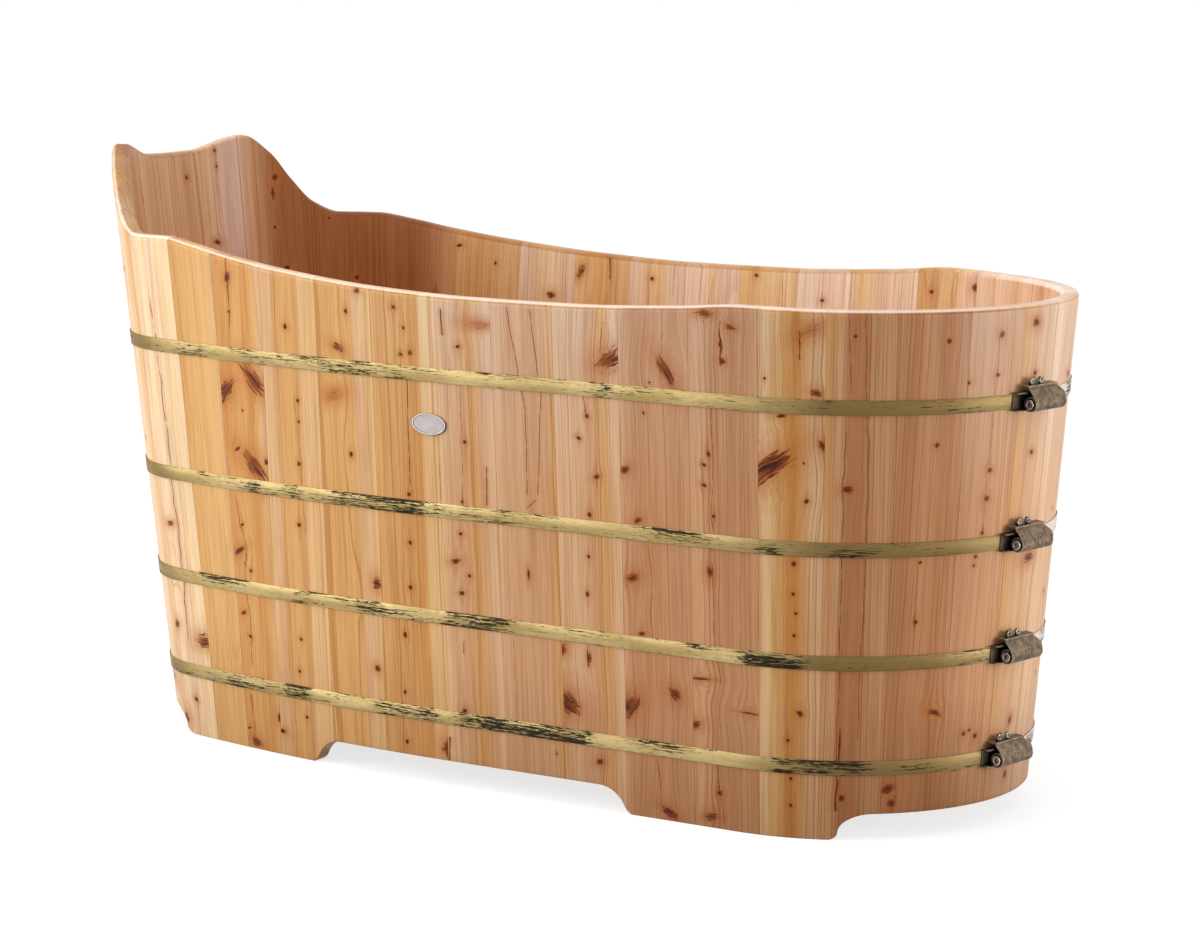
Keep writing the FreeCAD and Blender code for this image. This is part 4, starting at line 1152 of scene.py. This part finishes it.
# Blackened stretches of each hoop on the clamps' side: girth from the head's middle at the start and at
# the end, and how strong they are at the lower and at the upper edge
hoop_wear = (
    (
        (400, 470, 0.7, 0.6), (540, 580, 0.5, 0.8), (600, 720, 0.2, 1.0), (700, 760, 0.9, 0.2),
        (820, 860, 0.7, 0.7), (900, 930, 0.7, 0.7), (970, 1000, 0.2, 0.9), (1160, 1200, 0.8, 0.8),
        (1220, 1260, 0.1, 0.9), (1360, 1400, 0.6, 0.6), (1510, 1540, 0.4, 0.4),
    ),
    (
        (425, 450, 0.8, 0.8), (520, 560, 0.7, 0.8), (600, 640, 0.8, 0.7), (690, 860, 1.0, 1.0),
        (980, 1010, 0.2, 0.9), (1250, 1340, 0.1, 0.9), (1420, 1460, 0.7, 0.6), (1520, 1610, 0.9, 0.2),
    ),
    (
        (400, 520, 0.3, 0.9), (600, 650, 0.8, 0.8), (720, 780, 1.0, 1.0), (880, 1010, 1.0, 1.0),
        (1300, 1350, 0.2, 0.9), (1390, 1500, 1.0, 1.0),
    ),
    (
        (430, 480, 0.8, 0.8), (560, 620, 1.0, 1.0), (740, 860, 1.0, 1.0), (890, 1130, 1.0, 1.0),
        (1210, 1290, 0.7, 0.7), (1440, 1600, 0.9, 1.0),
    ),
)
# A worn stretch fades out over this length
wear_edge = 30.0
# How flecked the bands are between those stretches, by girth as a share of half of it
flecked_shares = ((0.00, 0.1), (0.20, 0.1), (0.26, 0.3), (0.52, 0.35), (0.62, 0.15), (2.00, 0.2))
# How tarnished and shaded the bands are, by girth round the whole tub as a share of half of it: darker
# stretches are partly tarnish and partly painted shade, and above 1.1 a painted grey reflection covers the
# stub beyond the clamp
dull_shares = (
    (0, 0.5), (0.17, 0.8), (0.2, 0.3), (0.26, 0.1), (0.32, 0), (0.72, 0.1), (0.8, 1), (0.89, 1),
    (0.94, 0.55), (0.97, 0.5), (1, 1.6), (1.05, 1.6), (1.11, 0.7), (1.4, 0.3), (1.7, 0.6), (2, 0.5),
)
far_side_patches = 9
# The middle of the band's outer face, counted across the band from its lower inner corner
band_middle = hoop_width / 2 + hoop_clearance + hoop_thickness


def hoop_material():
    """Brass with long blackened scratches where the band is worn, cloudy stretches darkened partly by tarnish
    and partly by painted shade, a painted grey reflection beyond the clamp, and dark edges that are partly
    painted shadow.
    """
    material, n = new_material("aged_brass")
    wear, dull = n.attribute("wear"), n.attribute("dull")
    u, v, w = n.split(n.made("ShaderNodeUVMap", uv_map="band"))

    def drift(along, across, seed, detail=2.0, roughness=0.5):
        return n.noise((u * along, v * across, seed), detail, roughness)

    patch = drift(20.0, 420.0, 0.0, 5.0, 0.68) * 0.60 + drift(85.0, 900.0, 1.0, 3.0, 0.6) * 0.38
    patch = drift(7.0, 60.0, 2.0) * 0.30 + patch
    patch = wear * 0.125 + patch
    nick = n.remap(drift(140.0, 460.0, 6.0, 3.0, 0.6), 0.66, 0.71)
    # The band's edges are black along their last millimetre: a dark edge, partly painted shadow of the gap to
    # the wall
    from_middle = abs(v - band_middle * mm)
    dark_edge_and_shadow = n.remap(from_middle, (band_middle - 1.8) * mm, (band_middle - 0.7) * mm, 0.0, 0.65)
    black = n.most(n.most(n.remap(patch, 0.735, 0.755), nick * 0.75), dark_edge_and_shadow)
    fine = drift(90.0, 1500.0, 4.0, 3.0, 0.6)
    cloudy = drift(3.1, 14.0, 12.0) * 0.8 + -0.4
    colour = n.mix(n.remap(drift(9.0, 60.0, 9.0), 0.35, 0.65), brass, brass_bright)
    # Stretches darken partly with tarnish and partly with painted shade
    colour = n.mix(n.math("ADD", dull, cloudy, clamp=True), colour, brass_dull)
    # Painted reflection: the band beyond the clamp turns pale grey
    colour = n.mix(n.remap(dull, 1.1, 1.6), colour, brass_painted_reflection)
    colour = n.mix(n.remap(fine, 0.42, 0.7) * 0.4, colour, brass_fine)
    colour = n.mix(black * 0.95, colour, brass_black)
    roughness = black * 0.20 + (fine * 0.2 + 0.50)
    normal = n.bump(fine * 0.4 + black * -0.5, strength=0.3)
    n.surface(colour, roughness, metallic=black * -0.4 + 0.62, specular=0.2, normal=normal)
    return material


def wear_patches(number):
    """Blackened stretches round a whole hoop, by chance on the side away from the clamps."""
    chance = random.Random(300 + number)
    patches = list(hoop_wear[number - 1])
    for step in range(far_side_patches):
        start = half_girth * (1 + (step + chance.uniform(0.1, 0.6)) / far_side_patches)
        strengths = chance.uniform(0.2, 1.0), chance.uniform(0.2, 1.0)
        patches.append((start, start + chance.uniform(30, 120), *strengths))
    return patches


def wear_at(patches, girth, edge):
    """How worn the band is at a girth, at its lower (2) or upper (3) edge."""
    worn = straight_value(flecked_shares, girth / half_girth)
    for patch in patches:
        reach = min(girth - patch[0], patch[1] - girth) / wear_edge
        worn = max(worn, patch[edge] * min(1.0, max(0.0, reach + 0.5)))
    return worn


hoop_edge_round = 0.45
hoop_steps_per_stretch = (28, 20, 44, 40, 48)
# Keeps the hoops' patterns apart: metres along the band, times the hoop's share of the height
hoop_pattern_shift = 3.7


def hoop_places():
    """Stretches, shares and sides round the whole tub, from one end of a hoop to the other."""
    steps = list(enumerate(hoop_steps_per_stretch))
    places = [(stretch, k / count, -1) for stretch, count in steps for k in range(count)]
    places.append((foot_stretch, 1, -1))
    places += [(stretch, k / count, 1) for stretch, count in steps[::-1] for k in range(count - 1, -1, -1)]
    # The last of these is the first one again
    places.pop()
    clamp_share = clamp_angle / 90
    gap_share = hoop_end_gap / 2 / half_width / square_angle

    def past_clamp(stretch, share, side):
        return stretch == foot_stretch and side == -1 and share > clamp_share

    # Places this near the clamp make way for the band's two ends
    def near_clamp(stretch, share, side):
        return stretch == foot_stretch and side == -1 and abs(share - clamp_share) <= 1.5 * gap_share

    turn = [past_clamp(*place) for place in places].index(True)
    places = [place for place in places[turn:] + places[:turn] if not near_clamp(*place)]
    ends = [(foot_stretch, clamp_share + sign * gap_share, -1) for sign in (1, -1)]
    return ends[:1] + places + ends[1:]


def make_hoop(number, top_share, material):
    """A flat band with softened edges that follows the wall, open under its clamp."""
    name = "hoop_%d" % number
    patches = wear_patches(number)
    top = foot_height * top_share
    low = top - hoop_width
    soft = hoop_edge_round
    near, far = hoop_clearance, hoop_clearance + hoop_thickness
    section = (
        (low + soft, near), (low, near + soft), (low, far - soft), (low + soft, far),
        (top - soft, far), (top, far - soft), (top, near + soft), (top - soft, near),
    )
    places = hoop_places()
    vertices, flat_places, wear, dull = [], [], [], []
    run = hoop_pattern_shift * top_share / mm
    last = stretch_point(places[0][0], places[0][1], low, far, places[0][2])[0]
    for stretch, share, side in places:
        middle = stretch_point(stretch, share, low, far, side)[0]
        run += (middle - last).length
        last = middle
        girth = sum(reference_lengths[:stretch]) + share * reference_lengths[stretch]
        if side == 1:
            girth = full_turn - girth
        for height, outset in section:
            vertices.append(stretch_point(stretch, share, height, outset, side)[0])
            flat_places.append((run * mm, (height - low + outset) * mm))
            wear.append(wear_at(patches, girth, 3 if height > low + hoop_width / 2 else 2))
            dull.append(straight_value(dull_shares, girth / half_girth))
    faces = tube_faces(len(places), len(section))
    piece = mesh_object(name + "_band", vertices, faces, sharp_angle=60.0, wear=wear, dull=dull)
    layer = piece.data.uv_layers.new(name="band")
    for loop in piece.data.loops:
        layer.data[loop.index].uv = flat_places[loop.vertex_index]
    dress(piece, material, name)


def dress_hoops():
    material = hoop_material()
    for number, top_share in enumerate(hoop_top_shares, 1):
        make_hoop(number, top_share, material)


# Clamps, badge, drain and floor keep the frame's shapes and get their finish here


def worn_metal(
    name, base, deep, edge, dark, roughness=0.42, metallic=0.75, grime_and_shade=0.9, reach=6.0, dust_and_sheen=None, relief=0.0,
    under=0.75, open_corner=0.18,
):
    """Patinated metal: cloudy tone, dirt and painted shade in corners, painted shade underneath, bright edges
    partly worn and partly painted highlight, a greyer top partly dusty and partly painted sheen, and pitted
    skin.
    """
    material, n = new_material(name)
    place = n.millimetres()
    cloud = n.noise(place, 3.0, scale=0.11)
    grit = n.noise(place, 4.0, 0.7, 0.8)
    flat_normal = n.made("ShaderNodeNewGeometry", output="Normal")
    bevel, corner = n.bevel(1.2), n.corner(reach)
    turned = 1.0 - n.vector("DOT_PRODUCT", bevel, flat_normal)
    upward = n.split(flat_normal)[2]
    colour = n.mix(n.remap(cloud, 0.36, 0.64), base, deep)
    # Upward faces turn grey-mauve: partly dust, partly a painted sheen
    if dust_and_sheen is not None:
        colour = n.mix(n.remap(upward, 0.15, 0.75) * 0.75, colour, dust_and_sheen)
    colour = n.mix(n.remap(grit, 0.50, 0.72) * 0.55, colour, deep)
    # Sharp edges turn bright: partly wear, partly a painted highlight
    rubbed_and_highlight = n.remap(turned, 0.012, 0.10) * n.remap(grit, 0.30, 0.50) * n.remap(corner, 0.55, 0.2)
    colour = n.mix(rubbed_and_highlight * 0.9, colour, edge)
    # Painted shade: faces turned downward darken
    colour = n.mix(n.remap(upward, 0.0, -0.85) * under, colour, dark)
    height = grit * 0.5
    if relief:
        swirl = n.noise(place, 1.0, scale=0.17, distortion=1.4)
        chased = n.most(n.bell(swirl - 0.5, 0.014), n.bell(swirl - 0.59, 0.012))
        colour = n.mix(chased * (0.45 * relief), colour, dark)
        height = chased * -relief + height
    # Sheltered corners darken: partly dirt, partly painted shade
    colour = n.mix(n.remap(corner, open_corner, open_corner + 0.5) * grime_and_shade, colour, dark)
    normal = n.bump(height, strength=0.5, normal=bevel)
    n.surface(colour, grit * 0.22 + (roughness - 0.11), metallic, normal=normal)
    return material


def badge_material():
    """Silvered plate with a pebbled field, a polished lip, tarnish in the step between them, and painted
    shade at its outer edge.
    """
    material, n = new_material("silvered_plate")
    place = n.millimetres()
    low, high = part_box("badge_plate")
    middle, half = (low + high) / 2 / mm, (high - low) / 2 / mm
    x, y, z = n.split(place)
    radius = n.vector("LENGTH", n.join((x - middle.x) / half.x, (z - middle.z) / half.z, 0.0))
    lip_start = 0.885
    lip = n.remap(radius, lip_start, lip_start + 0.03)
    pebble = n.made("ShaderNodeTexVoronoi", {"Scale": 0.75, "Vector": place}, "Distance", feature="SMOOTH_F1")
    dimple = pebble * (1.0 - lip)
    cloud = n.noise(place, 3.0, scale=0.07)
    colour = n.mix(n.remap(cloud, 0.35, 0.65), screen(200, 191, 190), screen(186, 177, 177))
    colour = n.mix(n.remap(dimple, 0.35, 0.85, 0.0, 0.45), colour, screen(146, 136, 136))
    colour = n.mix(lip, colour, screen(236, 230, 226))
    step = n.bell(radius - lip_start, 0.022)
    # Painted shade: the plate darkens at its outer edge, where it meets the wood
    outside = n.remap(radius, 0.955, 0.985, 0.0, 0.85)
    colour = n.mix(n.most(step * 0.85, outside), colour, screen(70, 58, 54))
    roughness = n.remap(cloud, 0.3, 0.7, 0.3, 0.42)
    n.surface(colour, roughness, metallic=0.5, normal=n.bump(dimple, strength=0.3, normal=n.bevel(0.5)))
    return material


def chrome_material():
    """Polished chrome with faint smears, water spots and painted shade in its recesses."""
    material, n = new_material("polished_chrome")
    place = n.millimetres()
    smear = n.noise(place, 4.0, scale=0.07, distortion=0.6)
    spot = n.made("ShaderNodeTexVoronoi", {"Scale": 0.16, "Vector": place}, "Distance", feature="F1")
    ring = n.bell(spot - 0.30, 0.03)
    colour = n.mix(n.remap(smear, 0.35, 0.65), screen(214, 217, 220), screen(196, 199, 203))
    colour = n.mix(ring * 0.25, colour, screen(235, 233, 226))
    # Painted shade: recesses darken
    colour = n.mix(n.remap(n.corner(5.0), 0.25, 0.8, 0.0, 0.7), colour, screen(70, 70, 72))
    roughness = ring * 0.12 + n.remap(smear, 0.4, 0.7, 0.10, 0.22)
    n.surface(colour, roughness, metallic=1.0, normal=n.bevel(0.6))
    return material


def rubber_material():
    """Black sealing rubber, dusty where it is rough."""
    material, n = new_material("sealing_rubber")
    place = n.millimetres()
    grain = n.noise(place, 4.0, 0.65, 1.3)
    cloud = n.noise(place, scale=0.08)
    colour = n.mix(n.remap(grain, 0.45, 0.7), screen(34, 33, 33), screen(58, 56, 54))
    colour = n.mix(n.remap(cloud, 0.5, 0.7, 0.0, 0.4), colour, screen(76, 73, 69))
    roughness = n.remap(grain, 0.3, 0.7, 0.5, 0.7)
    n.surface(colour, roughness, specular=0.35, normal=n.bump(grain, strength=0.3))
    return material


floor_stops = listed_stops("0 wheat 20 honey 46 tan 64 orange 80 honey 100 blond")
batten_stops = listed_stops("0 tan 30 honey 62 rose 100 honey")
floor_board_count = 7
# How far each floor board's figure is shifted along the last one's, in millimetres
board_shift = 930.0


def lying_wood(node, across, along, width, stops, seed, knot_count, next_board=0.0):
    """Wood for boards that lie flat, with knots by chance."""
    chance = random.Random(seed)
    low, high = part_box(node)
    reach = abs((high - low).dot(along)) / mm / 2
    place = (low + high) / 2
    place.z = high.z
    knots = [
        chance_knot(chance.uniform(-0.4, 0.4) * width, chance.uniform(-reach, reach), lying_knot, chance)
        for count in range(knot_count)
    ]
    rotation = Matrix((across, along, across.cross(along))).transposed().to_euler()
    look = board_look(width, chance, ring=5.2, contrast=0.5, figure=9)
    return wood_material(
        "wood_" + node, place, rotation, width, stops, amber_stain, look, knots, next_board=next_board
    )


def dress_nodes():
    x_axis, y_axis = Vector((1, 0, 0)), Vector((0, 1, 0))
    low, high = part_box("floor_boards")
    board_width = (high.y - low.y) / mm / floor_board_count
    low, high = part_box("floor_battens")
    batten_reach = (high.x - low.x) / mm
    bronze = worn_metal(
        "patinated_bronze", screen(144, 121, 88), screen(92, 74, 54), screen(222, 208, 178),
        screen(26, 18, 13), dust_and_sheen=screen(120, 103, 98), relief=1.4, under=0.6, open_corner=0.12,
    )
    blackened = worn_metal(
        "blackened_bronze", screen(76, 62, 36), screen(38, 29, 18), screen(206, 192, 158), screen(10, 7, 5),
        roughness=0.5, metallic=0.6, grime_and_shade=1.0, reach=15.0,
    )
    rings = worn_metal(
        "eyelet_steel", screen(158, 148, 132), screen(86, 74, 60), screen(250, 248, 242), screen(16, 12, 10),
        roughness=0.30, metallic=0.85, reach=3.0, under=0.3, open_corner=0.26,
    )
    steel = worn_metal(
        "screw_steel", screen(200, 196, 194), screen(120, 113, 106), screen(252, 250, 248), screen(12, 9, 8),
        roughness=0.24, metallic=0.95, reach=5.0, under=0.3, open_corner=0.42,
    )
    chrome = chrome_material()
    floor_wood = lying_wood(
        "floor_boards", -y_axis, x_axis, board_width, floor_stops, seed=41, knot_count=7,
        next_board=board_shift,
    )
    drain_wood = lying_wood(
        "drain_board", -y_axis, x_axis, board_width, floor_stops[1:], seed=43, knot_count=1
    )
    batten_wood = lying_wood(
        "floor_battens", x_axis, y_axis, batten_reach, batten_stops, seed=47, knot_count=3
    )
    looks = {
        "clamp_saddles": blackened,
        "clamp_eyelets": rings,
        "badge_plate": badge_material(),
        "drain_body": chrome,
        "drain_stopper": chrome,
        "drain_nut": chrome,
        "drain_gasket": rubber_material(),
        "floor_boards": floor_wood,
        "drain_board": drain_wood,
        "floor_battens": batten_wood,
    }
    for number in range(1, len(hoop_top_shares) + 1):
        looks["clamp_housing_%d" % number] = bronze
        looks["clamp_screw_%d" % number] = steel
    for name, material in looks.items():
        for material_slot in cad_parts[name].material_slots:
            material_slot.material = material


# Studio

studio_size = 30.0
# Where the room is brighter: its direction, how far from it the light begins, and the light's strength
room_glows = (((-0.85, -0.45, 0.25), -0.1, 0.60), ((0.80, 0.58, 0.15), 0.2, 0.40), ((0, 0, 1), 0.0, 0.34))
room_strength = 0.30


def finish_studio(n, kind, bounced, seen):
    """Ends a tree with one shader for bounced light, and another for rays that show the studio itself."""
    path = n.add("ShaderNodeLightPath").outputs
    rays = [Value(n, path["Is %s Ray" % ray]) for ray in ("Camera", "Glossy", "Transmission")]
    n.add(kind, {"Surface": n.made("ShaderNodeMixShader", {0: n.most(*rays), 1: bounced, 2: seen})})


def make_floor():
    mesh = bpy.data.meshes.new("studio_floor")
    corners = [(x * studio_size, y * studio_size, 0) for x, y in ((-1, -1), (1, -1), (1, 1), (-1, 1))]
    mesh.from_pydata(corners, [], [(0, 1, 2, 3)])
    floor = link(bpy.data.objects.new("studio_floor", mesh))
    material, n = new_material("studio_paper")
    paper = n.made("ShaderNodeBsdfDiffuse", {"Color": (0.34, 0.33, 0.32, 1)})
    shadow_paper = n.made("ShaderNodeBsdfDiffuse", {"Color": (0.34, 0.34, 0.34, 1)})
    glow = n.made("ShaderNodeEmission", {"Strength": 0.76})
    lit = n.made("ShaderNodeAddShader", {0: shadow_paper, 1: glow})
    finish_studio(n, "ShaderNodeOutputMaterial", paper, lit)
    mesh.materials.append(material)


def make_world():
    """A soft room, brighter beside the head end and behind the foot end; plain white to the camera."""
    world = bpy.data.worlds.new("studio")
    bpy.context.scene.world = world
    world.use_nodes = True
    world.node_tree.nodes.clear()
    n = Nodes(world.node_tree)
    toward = n.made("ShaderNodeTexCoord", output="Generated")
    strength = room_strength
    for direction, start, gain in room_glows:
        facing = n.vector("DOT_PRODUCT", toward, Vector(direction).normalized())
        strength = n.remap(facing, start, 1.0) * gain + strength
    soft = n.made("ShaderNodeBackground", {"Color": (1.0, 0.99, 0.97, 1), "Strength": strength})
    bright = n.made("ShaderNodeBackground", {"Color": (1, 1, 1, 1), "Strength": 1.0})
    finish_studio(n, "ShaderNodeOutputWorld", soft, bright)


def area_light(name, place, target, width, height, power):
    data = bpy.data.lights.new(name, "AREA")
    data.shape = "RECTANGLE"
    data.size = width
    data.size_y = height
    data.energy = power
    light = link(bpy.data.objects.new(name, data))
    light.location = place
    direction = Vector(target) - Vector(place)
    light.rotation_euler = direction.to_track_quat("-Z", "Y").to_euler()


def make_lights():
    area_light("key", place=(-2.9, -2.7, 1.6), target=(0, 0, 0.4), width=1.2, height=1.6, power=75)
    area_light("rim", place=(2.9, 0.4, 0.55), target=(0.7, 0, 0.4), width=0.7, height=0.9, power=26)
    area_light("top", place=(0.4, -1.2, 2.8), target=(0.2, 0.1, 0.7), width=2.2, height=1.4, power=12)


bpy.context.scene.view_settings.view_transform = "Standard"
make_camera()
make_floor()
make_world()
make_lights()
dress_staves()
dress_hoops()
dress_nodes()
